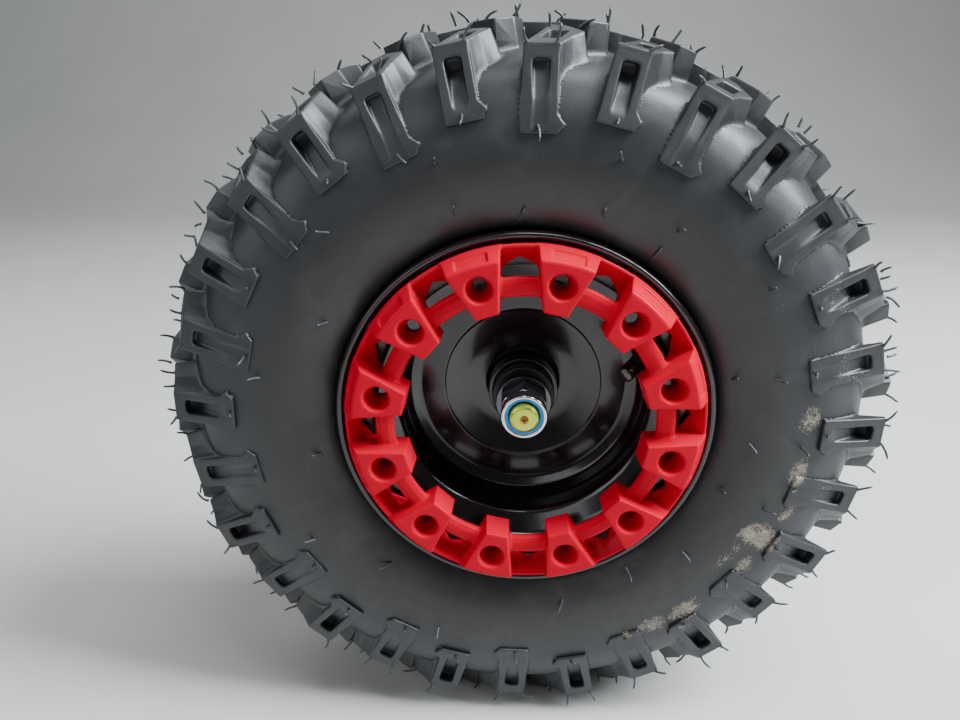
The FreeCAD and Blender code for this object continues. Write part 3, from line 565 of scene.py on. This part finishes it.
def lug_field(kind, t, z, out, carcass):
    """Signed distance to a lug with its centre block, blended into the carcass.

    The second field is the distance past the end of the fillet, where the patch may end.
    """
    _, corner, foot, slot_top, slot_end = LUG_KINDS[kind]
    block = face_block(t, z, out, corner, foot)
    block = soft_min(block, shoulder_block(t, z, out, corner), JOINT)
    block = soft_min(block, centre_block(t, z, out), JOINT)
    block = soft_max(block, -face_slot(t, z, out, slot_top, slot_end), SLOT_EDGE)
    block = soft_max(block, -top_pocket(t, z, out), POCKET_EDGE)
    above_foot = np.clip((z - foot - 3) / 10, 0, 1)
    in_slot = np.clip((5 - np.abs(t)) / 1.5, 0, 1)
    fillet = FOOT_FILLET + above_foot * (SIDE_FILLET + SLOT_FILLET * in_slot)
    return smooth_min(block, carcass - PATCH_RISE, fillet), block - fillet


def lug_patch(kind, step, faces):
    """One lug and centre block as a light mesh in its own frame: columns t, z, out."""
    low, high = np.array(PATCH_LOW), np.array(PATCH_HIGH)
    size = np.ceil((high - low) / step).astype(int)
    t, z, out = (low[k] + step * np.arange(size[k]) for k in range(3))
    # the carcass's distance, as a table over radius and out
    line = [*smooth_line(SIDE_PROFILE, 6), (-10, SIDE_PROFILE[-1][1]), (-10, SIDE_PROFILE[0][1])]
    radii = np.arange(*TABLE_RADII, TABLE_STEP)
    table = polygon_distance(out[None, :], radii[:, None], line)

    def row_at(radius):
        place = (radius - radii[0]) / TABLE_STEP
        k = np.clip(place.astype(int), 0, len(radii) - 2)
        return k, place - k

    k, share = row_at(np.hypot(t[:, None], z[None, :]))
    carcass = table[k] * (1 - share[..., None]) + table[k + 1] * share[..., None]
    field, past = lug_field(kind, t[:, None, None], z[None, :, None], out[None, None, :], carcass)
    points, quads = surface_nets(field, low, step)
    k, share = row_at(np.hypot(points[:, 0], points[:, 1]))
    j = np.clip(((points[:, 2] - out[0]) / step).astype(int), 0, len(out) - 1)
    height = table[k, j] * (1 - share) + table[k + 1, j] * share
    nearest = np.clip(np.rint((points - low) / step).astype(int), 0, size - 1)
    keep = (height > -PATCH_DIP)[quads].all(1) & (past[tuple(nearest.T)] < PATCH_MARGIN)[quads].all(1)
    border = (np.abs(points - low) < 1.6 * step).any(1) | (np.abs(points - high) < 2.6 * step).any(1)
    keep &= ~border[quads].any(1)
    local, polygons = light_mesh(points, quads[keep], faces)
    return local, polygons, slope_at(field, (local - low) / step, (step, step, step))


def blend_at(values, place):
    """Values of a sampled field of vectors at places given in samples."""
    place = np.clip(place, 0, np.array(values.shape[:3]) - 1.001)
    k = place.astype(int)
    share = place - k
    total = np.zeros((len(place), 3))
    for corner in range(8):
        bit = np.array([(corner >> axis) & 1 for axis in range(3)])
        weight = np.where(bit, share, 1 - share).prod(1)
        total += values[tuple((k + bit).T)] * weight[:, None]
    return total


def unit(vectors):
    return vectors / np.maximum(np.linalg.norm(vectors, axis=1), 1e-9)[:, None]


def slope_at(field, place, spacing):
    """Unit slope of a sampled field at places given in samples."""
    return unit(blend_at(np.stack(np.gradient(field, *spacing), -1), place))


def light_mesh(points, quads, faces):
    """The mesh with unused points dropped and thinned to about so many triangles."""
    used = np.unique(quads)
    again = np.full(len(points), -1)
    again[used] = np.arange(len(used))
    mesh = bpy.data.meshes.new("draft")
    mesh.from_pydata(points[used].tolist(), [], again[quads].tolist())
    draft = bpy.data.objects.new("draft", mesh)
    bpy.context.scene.collection.objects.link(draft)
    thin = draft.modifiers.new("thin", "DECIMATE")
    thin.ratio = min(1.0, faces / (2 * len(quads)))
    made = bpy.data.meshes.new_from_object(draft.evaluated_get(bpy.context.evaluated_depsgraph_get()))
    co = np.zeros(len(made.vertices) * 3)
    made.vertices.foreach_get("co", co)
    polygons = [list(p.vertices) for p in made.polygons]
    bpy.data.objects.remove(draft)
    bpy.data.meshes.remove(mesh)
    bpy.data.meshes.remove(made)
    return co.reshape(-1, 3), polygons


def turned_to_world(local, angle, side):
    """Vectors in the world frame from a lug's own t, z, out ones."""
    a = math.radians(angle)
    t, z, out = np.asarray(local).T
    return np.stack([z * math.sin(a) + t * math.cos(a), -side * out, z * math.cos(a) - t * math.sin(a)], 1)


def placed(local, angle, side):
    """World points in metres from a lug's own t, z, out, on the outer (+1) or far (-1) side."""
    return (turned_to_world(local, angle, side) + np.array((0, MID_Y / MM, 0))) * MM


def joined(name, parts, material, body="wheel_side"):
    """One object from (points, polygons) or (points, polygons, normals) parts."""
    points, faces, normals, first = [], [], [], 0
    for co, polygons, *slopes in parts:
        points.append(np.asarray(co))
        faces += [[first + i for i in p] for p in polygons]
        normals += slopes
        first += len(co)
    mesh = bpy.data.meshes.new(name)
    mesh.from_pydata(np.concatenate(points).tolist(), [], faces)
    mesh.shade_smooth()
    if normals:
        mesh.normals_split_custom_set_from_vertices(np.concatenate(normals).tolist())
    mesh.materials.append(material)
    obj = bpy.data.objects.new(name, mesh)
    bpy.context.scene.collection.objects.link(obj)
    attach(obj, body)
    return obj


def revolved(line, steps):
    """(points, polygons) of a closed line of (out, r) turned about the wheel's axis, in metres."""
    line = np.array(line, float)
    n = len(line)
    a = np.linspace(0, 2 * math.pi, steps, endpoint=False)
    out, r = line.T
    co = np.stack([r[None, :] * np.sin(a)[:, None], np.broadcast_to(MID_Y / MM - out, (steps, n)),
                   r[None, :] * np.cos(a)[:, None]], -1).reshape(-1, 3) * MM
    faces = []
    for i in range(steps):
        i2 = (i + 1) % steps
        for j in range(n):
            k = (j + 1) % n
            faces.append([i * n + j, i * n + k, i2 * n + k, i2 * n + j])
    return co, faces


def lug_angle(kind, k, side):
    """Degrees clockwise from the top to the k-th lug of a kind."""
    return LUG_KINDS[kind][0] + k * 360.0 / PITCHES + (0 if side > 0 else FAR_SIDE_TURN)


def make_tyre():
    ring = np.concatenate([smooth_line(SIDE_PROFILE, 5), np.array(INNER_PROFILE)])
    far = ring[::-1].copy()
    far[:, 0] *= -1
    line = np.concatenate([ring, far[1:-1]])
    carcass = joined("tyre_carcass", [revolved(line, 240)], MATERIALS["tyre"])
    step = 0.5
    for name, side, faces in TREADS:
        parts = []
        for kind in LUG_KINDS:
            local, polygons, slopes = lug_patch(kind, step, faces)
            if side < 0:
                polygons = [p[::-1] for p in polygons]
            for k in range(PITCHES):
                angle = lug_angle(kind, k, side)
                parts.append((placed(local, angle, side), polygons, turned_to_world(slopes, angle, side)))
        tread = joined(name, parts, MATERIALS["tyre"])
    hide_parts("tyre")


# Ring, in mm: the same out and r
BOSSES, BOSS_ANGLE, BOSS_TRIANGLES = 12, 12.5, 15000
RING_R, BROW_R, BOSS_OUT, BRIM_OUT, PLATE_OUT = 85.3, 80.2, 66.2, 56.9, 46.4
FUNNEL_R, MOUTH_R, THROAT_R, THROAT_OUT, FUNNEL_CURVE = 69.8, 6.2, 3.25, 57.0, 0.8
NOTCH_HALF, NOTCH_R, NOTCH_SLOPE = 7.8, 78.8, 0.6
PAD_HALF, PAD_LIFT, PAD_RISE, PAD_DEPTH = 7.4, 4.6, 2.7, 0.75
SEAT_R, SEAT_STEP = 74.0, 3.0
SAMPLED_R, SAMPLED_OUT, MEAN_R = (55.83, 87.0), (45.13, 67.6), 73
CONE = [  # out, r
    (56.9, 83.9), (56.9, 84.8), (56.3, 85.3), (54.3, 85.3), (48.4, 79.4), (48.4, 73.8), (50.0, 73.8),
    (50.0, 77.4),
]
BAR = [  # out, r, before it is made thicker all round
    (53.4, 62.8), (56.1, 61.7), (57.7, 62.5), (58.6, 64.6), (58.6, 68.2), (57.7, 70.2), (56.1, 70.9),
    (53.4, 70),
]
BAR_EXTRA = 0.1
BOSS_PLAN = [(-3, 57.0), (5.4, 57.0), (15.3, 89.0), (-3, 89.0)]  # |t|, z at the boss's top


def boss_field(t, z, r, out):
    """Signed distance to one boss: its sides, its top with a sunk pad in the brow, its seat."""
    lift = BOSS_OUT - out
    plan = polygon_distance(np.abs(t) - 0.03 * lift, z + 0.02 * lift, BOSS_PLAN)
    slope = (RING_R - BROW_R) / (BOSS_OUT - BRIM_OUT)
    brow = (r - BROW_R - lift * slope) / math.hypot(1, slope)
    top = soft_max(-lift, brow, 1.0)
    pad = np.maximum(np.abs(t) - PAD_HALF, np.abs(lift - PAD_LIFT) - PAD_RISE)
    top = soft_max(top, -np.maximum(pad, -brow - PAD_DEPTH), 0.5)
    boss = soft_max(plan, top, 0.9)
    # the seat: full depth over the rim's web, shallower towards the wheel's middle
    seat = PLATE_OUT + SEAT_STEP * np.clip((SEAT_R - r) / 2.5, 0, 1)
    boss = soft_max(boss, np.maximum(seat - out, r - RING_R), 0.4)
    return np.maximum(boss, (r - RING_R + 2.0 + (PLATE_OUT - out)) * 0.7)


def ring_field(a, r, out):
    """Signed distance to one boss with its share of the cone and the bar."""
    t, z = r * np.sin(a), r * np.cos(a)
    arc = (math.pi / BOSSES - np.abs(a)) * r
    notch = np.where(arc < NOTCH_HALF, NOTCH_R - arc * NOTCH_SLOPE - r, -9.0)
    cone = soft_max(polygon_distance(out, r, CONE), notch, 0.5)
    bar = polygon_distance(out, r, BAR) - BAR_EXTRA
    solid = soft_min(soft_min(bar, boss_field(t, z, r, out), 1.8), cone, 1.0)
    reach = np.hypot(t, z - FUNNEL_R)
    depth = np.clip((out - THROAT_OUT) / (BOSS_OUT - THROAT_OUT), 0, 1.3)
    bore = THROAT_R + (MOUTH_R - THROAT_R) * depth ** FUNNEL_CURVE
    return soft_max(solid, (bore - reach) * 0.93, 0.9)


def ring_segment():
    """One boss's share of the ring: points, polygons and normals in its own t, z, out."""
    step = 0.4
    half = math.pi / BOSSES
    count = int(round(2 * half * MEAN_R / step))
    a = -half + 2 * half * np.arange(-1, count + 2) / count
    r = np.arange(*SAMPLED_R, step)
    out = np.arange(*SAMPLED_OUT, step)
    field = ring_field(a[:, None, None], r[None, :, None], out[None, None, :])
    points, quads = surface_nets(field, np.array((0.0, r[0], out[0])), np.array((1.0, step, step)))
    cell = np.floor(points[:, 0] + 1e-9)
    keep = ((cell >= 0) & (cell <= count))[quads].all(1)
    turn = -half + 2 * half * (points[:, 0] - 1) / count
    flat = np.stack([points[:, 1] * np.sin(turn), points[:, 1] * np.cos(turn), points[:, 2]], 1)
    local, polygons = light_mesh(flat, quads[keep], BOSS_TRIANGLES)
    turn, reach = np.arctan2(local[:, 0], local[:, 1]), np.hypot(local[:, 0], local[:, 1])
    place = np.stack([(turn + half) / (2 * half) * count + 1, (reach - r[0]) / step,
                      (local[:, 2] - out[0]) / step], 1)
    along, rise, outward = np.gradient(field, 2 * half / count, step, step)
    along, rise, outward = blend_at(np.stack([along / r[None, :, None], rise, outward], -1), place).T
    slopes = np.stack([along * np.cos(turn) + rise * np.sin(turn),
                       rise * np.cos(turn) - along * np.sin(turn), outward], 1)
    return local, polygons, unit(slopes)


def make_ring():
    local, polygons, slopes = ring_segment()
    parts = []
    for k in range(BOSSES):
        angle = BOSS_ANGLE + k * 360.0 / BOSSES
        parts.append((placed(local, angle, 1), polygons, turned_to_world(slopes, angle, 1)))
    ring = joined("ring", parts, MATERIALS["ring_red"])
    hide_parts("trim_ring")


def rounded(line, segments):
    """Closed (out, r, width) corners, each rounded off over its width."""
    n = len(line)
    made = []
    for i in range(n):
        p = np.array(line[i][:2], float)
        before = np.array(line[i - 1][:2], float) - p
        after = np.array(line[(i + 1) % n][:2], float) - p
        back, ahead = np.hypot(*before), np.hypot(*after)
        width = min(line[i][2], back * 0.45, ahead * 0.45)
        a, b = p + before / back * width, p + after / ahead * width
        for k in range(segments + 1):
            u = k / segments
            made.append((1 - u) ** 2 * a + 2 * u * (1 - u) * p + u * u * b)
    return np.array(made)


def make_turned(name, nodes, line, slot, body="wheel_side", steps=168, segments=4):
    """A piece turned about the wheel's axis, with rounded corners, that replaces CAD nodes."""
    piece = joined(name, [revolved(rounded(line, segments), steps)], MATERIALS[slot], body)
    normal = piece.modifiers.new("normal", "WEIGHTED_NORMAL")
    normal.keep_sharp = False
    if nodes:
        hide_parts(*nodes)
    return piece


# Turned pieces, in mm: out, r and the width of each corner's rounding
RIM_HALF = [  # the barrel's upper side from the well out to the lip, then its under side
    (30.4, 62.4, 3.0), (37.6, 74.0, 3.0), (46.4, 74.0, 1.2), (46.4, 85.3, 1.0), (47.6, 86.5, 0.8),
    (53.4, 86.5, 0.9), (54.4, 87.7, 0.9), (54.4, 89.2, 0.9), (52.8, 90.4, 0.9), (48.6, 90.4, 1.4),
    (44.2, 86.5, 1.6), (44.2, 76.2, 1.4), (36.7, 76.2, 3.0), (29.4, 64.6, 3.0),
]
DISC = [
    (0.8, 18.05, 0.2), (1.8, 27.0, 3.0), (6.1, 41.1, 0.5), (6.8, 41.9, 0.5), (6.7, 55.2, 1.6),
    (9.9, 60.5, 1.6), (17.0, 62.3, 0.6), (8.2, 62.3, 0.8), (3.7, 57.2, 1.4), (3.7, 42.9, 1.4),
    (-1.2, 27.8, 3.0), (-2.2, 18.05, 0.2),
]
HUB = [
    (16.8, 16.0, 0.2), (16.8, 18.0, 0.7), (3.6, 18.0, 0.6), (1.6, 20.0, 0.6), (-2.6, 20.0, 0.6),
    (-4.4, 18.0, 0.6), (-33.0, 18.0, 0.8), (-33.0, 16.0, 0.3), (-22.0, 16.0, 0.2),
    (-22.0, 14.6, 0.2), (6.0, 14.6, 0.2), (6.0, 16.0, 0.2),
]
FRONT_SEAL = [
    (15.0, 10.6, 0.3), (15.0, 15.99, 0.3), (19.6, 15.99, 0.5), (19.9, 15.3, 0.3), (21.3, 15.3, 0.3),
    (21.6, 15.99, 0.5), (24.0, 15.99, 1.1), (24.0, 11.9, 0.6), (22.8, 10.6, 0.4),
]
REAR_SEAL = [
    (-31.0, 10.6, 0.3), (-31.0, 15.99, 0.3), (-33.0, 15.99, 0.6), (-33.0, 14.0, 0.3),
    (-32.3, 13.4, 0.3), (-32.3, 12.2, 0.3), (-33.0, 11.6, 0.3), (-33.0, 10.6, 0.3),
]
WASHER = [(29.5, 7.3, 0.2), (29.5, 14.0, 0.5), (32.0, 14.0, 0.7), (32.0, 7.3, 0.3)]
COLLAR = [
    (43.2, 8.9, 0.1), (43.2, 11.3, 0.1), (43.9, 11.3, 0.3), (48.9, 11.4, 0.9), (50.2, 10.9, 0.7),
    (50.2, 9.5, 0.6), (49.3, 9.1, 0.3), (46.2, 9.1, 0.2), (46.2, 7.05, 0.2), (43.2, 7.05, 0.2),
]
INSERT = [(46.2, 7.05, 0.2), (46.2, 9.08, 0.2), (49.5, 9.08, 0.3), (49.5, 8.3, 0.3), (48.3, 7.5, 0.4)]
DIMPLE = [(51.5, 0.0, 0.05), (51.9, 1.25, 0.3), (52.7, 2.1, 0.35), (52.7, 5.6, 0.5), (51.7, 6.9, 0.4)]
AXLE_TAIL = [
    (28.4, 7.0, 0.2), (28.4, 7.5, 0.3), (-36.0, 7.5, 0.2), (-36.0, 12.0, 0.4), (-38.0, 12.0, 0.4),
    (-38.0, 10.0, 0.5), (-61.0, 10.0, 0.3), (-61.0, 0.0, 0.05),
]
THREAD_R, THREAD_PITCH, THREAD_DEPTH, THREAD_START, THREAD_END = 7.0, 1.5, 0.42, 51.4, 30.0

# Lock nut's hexagon, in mm
HEX_HALF, HEX_FOOT, HEX_TOP, HEX_BORE, HEX_TRIANGLES = 11.0, 32.0, 43.5, 7.05, 9000
CHAMFER_TOP_R, CHAMFER_FOOT_R = 11.5, 12.2


def make_wheel():
    mirror = [(-out, r, width) for out, r, width in reversed(RIM_HALF)]
    make_turned("rim_barrel_rolled", ["rim_barrel"], RIM_HALF + mirror, "rim_paint", steps=216)
    make_turned("wheel_disc_pressed", ["wheel_disc"], DISC, "rim_paint", steps=216)
    make_turned("hub_tube_welded", ["hub_tube"], HUB, "rim_paint")
    make_turned("front_seal_lipped", ["front_seal"], FRONT_SEAL, "black_rubber")
    make_turned("rear_seal_lipped", ["rear_seal"], REAR_SEAL, "black_rubber")


def thread_line():
    """Crests and roots of the axle's thread, as rings from its face down."""
    line = []
    out = THREAD_START
    while out > THREAD_END:
        line += [(out, THREAD_R, 0.1), (out - 0.5 * THREAD_PITCH, THREAD_R - THREAD_DEPTH, 0.1)]
        out -= THREAD_PITCH
    return line


def make_axle_stack():
    make_turned("washer_flat", ["washer"], WASHER, "nut_zinc", "knuckle_side", 96)
    make_turned("nut_insert_ring", ["nut_insert"], INSERT, "nylon_blue", "knuckle_side", 96)
    hexagon = joined("lock_nut_hex", [hex_part()], MATERIALS["nut_zinc"], "knuckle_side")
    collar = make_turned("lock_nut_collar", [], COLLAR, "nut_zinc", "knuckle_side", 96)
    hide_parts("lock_nut")
    axle = DIMPLE + thread_line() + AXLE_TAIL
    make_turned("stub_axle_threaded", ["stub_axle"], axle, "axle_zinc", "knuckle_side", 72, 3)


def hex_part():
    """The hexagon of the lock nut, in metres, from its signed distance."""
    step = 0.28
    x = np.arange(-14.03, 14.1, step)
    out = np.arange(31.13, 44.8, step)
    a, b = x[:, None, None], x[None, :, None]
    o = out[None, None, :]
    turns = (math.pi / 6, math.pi / 2, 5 * math.pi / 6)
    sides = [np.abs(a * math.sin(k) + b * math.cos(k)) - HEX_HALF for k in turns]
    field = soft_max(soft_max(sides[0], sides[1], 0.5), sides[2], 0.5)
    reach = np.hypot(a, b)
    field = soft_max(field, np.maximum(HEX_FOOT - o, o - HEX_TOP), 0.4)
    field = soft_max(field, (reach - CHAMFER_TOP_R + (o - HEX_TOP) * 0.45) * 0.9, 0.4)
    field = soft_max(field, (reach - CHAMFER_FOOT_R + (HEX_FOOT - o) * 0.6) * 0.85, 0.4)
    field = np.maximum(field, HEX_BORE - reach)
    points, quads = surface_nets(field, np.array((x[0], x[0], out[0])), step)
    local, polygons = light_mesh(points, quads, HEX_TRIANGLES)
    return placed(local, 0.0, 1), polygons


# Valve, in mm: where its foot stands in the rim and how far it leans to the wheel's middle
VALVE_ANGLE, VALVE_OUT, VALVE_R, VALVE_LEAN, VALVE_STEPS = 65.5, 32.5, 65.8, 43.4, 84
STEM_LINE = [  # distance along the valve's own axis, r
    (-1.0, 0.0), (-1.0, 6.0), (0.3, 6.2), (1.2, 5.9), (3.2, 4.7), (5.0, 4.3), (10.5, 4.2), (11.2, 3.7),
    (13.5, 3.5), (13.5, 0.0),
]
CAP_LINE = [
    (12.9, 0.0), (12.9, 3.9), (13.2, 4.1), (14.0, 4.1), (20.3, 3.9), (21.0, 3.5), (21.4, 2.6), (21.4, 0.0),
]
CAP_RIBS, RIB_DEPTH, RIB_ENDS = 14, 0.28, (13.5, 21.0)


def leaning(line, ribs=0):
    """(points, polygons) in metres of a (along, r) line turned about the valve's own axis."""
    a = math.radians(VALVE_ANGLE)
    lean = math.radians(VALVE_LEAN)
    outward = np.array((0.0, -1.0, 0.0))
    radial = np.array((math.sin(a), 0.0, math.cos(a)))
    axis = math.cos(lean) * outward - math.sin(lean) * radial
    side = np.cross(axis, (math.cos(a), 0.0, -math.sin(a)))
    across = np.cross(axis, side)
    foot = np.array((0.0, MID_Y / MM, 0.0)) + VALVE_OUT * outward + VALVE_R * radial
    points, faces = [], []
    n = len(line)
    for i in range(VALVE_STEPS):
        turn = 2 * math.pi * i / VALVE_STEPS
        for along, r in line:
            if ribs and RIB_ENDS[0] < along < RIB_ENDS[1]:
                r -= RIB_DEPTH * max(0.0, math.cos(ribs * turn)) ** 2
            points.append(foot + axis * along + r * (math.cos(turn) * side + math.sin(turn) * across))
        i2 = (i + 1) % VALVE_STEPS
        for j in range(n - 1):
            faces.append([i * n + j, i2 * n + j, i2 * n + j + 1, i * n + j + 1])
    return np.array(points) * MM, faces


def make_valve():
    stem = joined("valve_stem_tapered", [leaning(STEM_LINE)], MATERIALS["black_rubber"])
    cap = joined("valve_cap_ribbed", [leaning(CAP_LINE, CAP_RIBS)], MATERIALS["cap_plastic"])
    for piece, node, slot in ((stem, "valve_stem", "black_rubber"), (cap, "valve_cap", "cap_plastic")):
        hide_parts(node)


# Threads of rubber left by moulding, in mm
WALL_WHISKERS = [  # angle and radius of the ones on the side wall
    (-18.5, 125.4), (-18, 102.6), (-2, 95.5), (17.5, 126.4), (18.5, 102.1), (35, 110.7), (35, 95.5),
    (58, 124.5), (78, 115.9), (77, 97.9), (95, 106.4), (94.5, 130.2), (110.5, 124), (110, 100.7),
    (131, 106.4), (147, 97.9), (-44, 125), (-62, 103), (-80, 126), (-101, 100), (-122, 124),
    (-140, 104), (-160, 126), (168, 103),
]
LUG_WHISKERS = [  # t, rise above the face's top corner, out, then the way in t, z, out, and length
    (-6.2, 0.2, 51.6, -0.7, 0.5, 0.5, 6.5),
    (5.8, 0.2, 51.6, 0.5, 0.8, 0.3, 7.5),
    (16.2, 7.0, 36.0, 0.6, 0.75, 0.1, 8.0),
    (3.4, 7.4, 35.6, -0.3, 0.95, 0.0, 6.0),
]
CENTRE_WHISKERS = [  # t from the centre block's middle, out, height, then the way, and length
    (-9.4, 31.0, 176.9, -0.2, 0.95, 0.2, 6.5),
    (9.8, 31.5, 176.9, 0.5, 0.8, 0.3, 7.0),
    (9.2, 12.0, 177.4, 0.2, 0.97, 0.0, 6.5),
]
WHISKER_SEED, LUG_SHARE, CENTRE_SHARE = 11, 0.88, 0.8
WHISKER_SPANS, WHISKER_SIDES = 5, 5
WHISKER_ROOT_R, WHISKER_R, WHISKER_TIP_R = 0.80, 0.58, 0.40


def whisker(at, way, length, bend):
    """(points, polygons) of one thin curved thread of rubber in a lug's own frame, in mm."""
    way = np.array(way, float)
    way /= np.linalg.norm(way)
    bend = np.array(bend, float)
    bend -= way * np.dot(bend, way)
    spans, sides = WHISKER_SPANS, WHISKER_SIDES
    points, faces = [], []
    for i in range(spans + 1):
        u = i / spans
        centre = np.array(at) + length * (way * (u - 0.06) + bend * u * u)
        lead = way + 2 * bend * u
        lead /= np.linalg.norm(lead)
        first = np.cross(lead, (0.31, 0.53, 0.79))
        first /= np.linalg.norm(first)
        second = np.cross(lead, first)
        r = WHISKER_ROOT_R - (WHISKER_ROOT_R - WHISKER_R) * min(1.0, 3 * u)
        if i == spans:
            r = WHISKER_TIP_R
        for k in range(sides):
            turn = 2 * math.pi * k / sides
            points.append(centre + r * (math.cos(turn) * first + math.sin(turn) * second))
    for i in range(spans):
        for k in range(sides):
            k2 = (k + 1) % sides
            faces.append([i * sides + k, i * sides + k2, (i + 1) * sides + k2, (i + 1) * sides + k])
    faces.append([spans * sides + k for k in range(sides)])
    return np.array(points), faces


def loose(dice, size):
    return np.array([dice.uniform(-size, size) for _ in range(3)])


def lug_threads(dice, corner, foot):
    """(place, way, length) of the threads on one lug and its centre block."""
    threads = []
    for t, rise, out, *way, length in LUG_WHISKERS:
        if dice.random() < LUG_SHARE:
            way = np.array(way) + loose(dice, 0.3)
            threads.append(((t, corner + rise, out), way, length * dice.uniform(0.6, 1.05)))
    turn = math.radians(CENTRE_TURN)
    for across, out, height, *way, length in CENTRE_WHISKERS:
        across += (INNER_OUT - out) * CENTRE_LEAN
        t = across * math.cos(turn) + height * math.sin(turn)
        z = height * math.cos(turn) - across * math.sin(turn)
        if dice.random() < CENTRE_SHARE:
            way = np.array(way) + loose(dice, 0.3)
            threads.append(((t, z, out), way, length * dice.uniform(0.5, 1.0)))
    at = (dice.uniform(-1, 1), foot + 3.0, FOOT_OUT - 0.8)
    threads.append((at, (dice.uniform(-0.4, 0.4), -0.5, 1.0), dice.uniform(4.5, 7.0)))
    return threads


def make_whiskers():
    dice = random.Random(WHISKER_SEED)
    parts = []
    for kind, (_, corner, foot, *_) in LUG_KINDS.items():
        for k in range(PITCHES):
            for side in (1, -1):
                for at, way, length in lug_threads(dice, corner, foot):
                    local, polygons = whisker(at, way, length, loose(dice, 0.5))
                    parts.append((placed(local, lug_angle(kind, k, side), side), polygons))
    line = smooth_line(SIDE_PROFILE, 6)[::-1]
    for side in (1, -1):
        for angle, r in WALL_WHISKERS:
            out = float(np.interp(r, line[:, 1], line[:, 0]))
            way = (dice.uniform(-0.6, 0.6), dice.uniform(0.3, 1.0), 1.0)
            local, polygons = whisker((0.0, r, out), way, dice.uniform(6.0, 8.5), loose(dice, 0.3))
            parts.append((placed(local, angle if side > 0 else -angle, side), polygons))
    # painted highlight: the threads are coloured lighter than the tyre's rubber, as if catching the light
    material = make_gloss("whisker_rubber_painted_highlight", (0.05, 0.052, 0.056), 0.7, 0.36, 0.0)
    threads = joined("tyre_whiskers", parts, material)


make_camera()
make_lights()
make_floor()
make_tyre()
make_whiskers()
make_wheel()
make_ring()
make_valve()
make_axle_stack()
for row in DRESS:
    dress(*row)
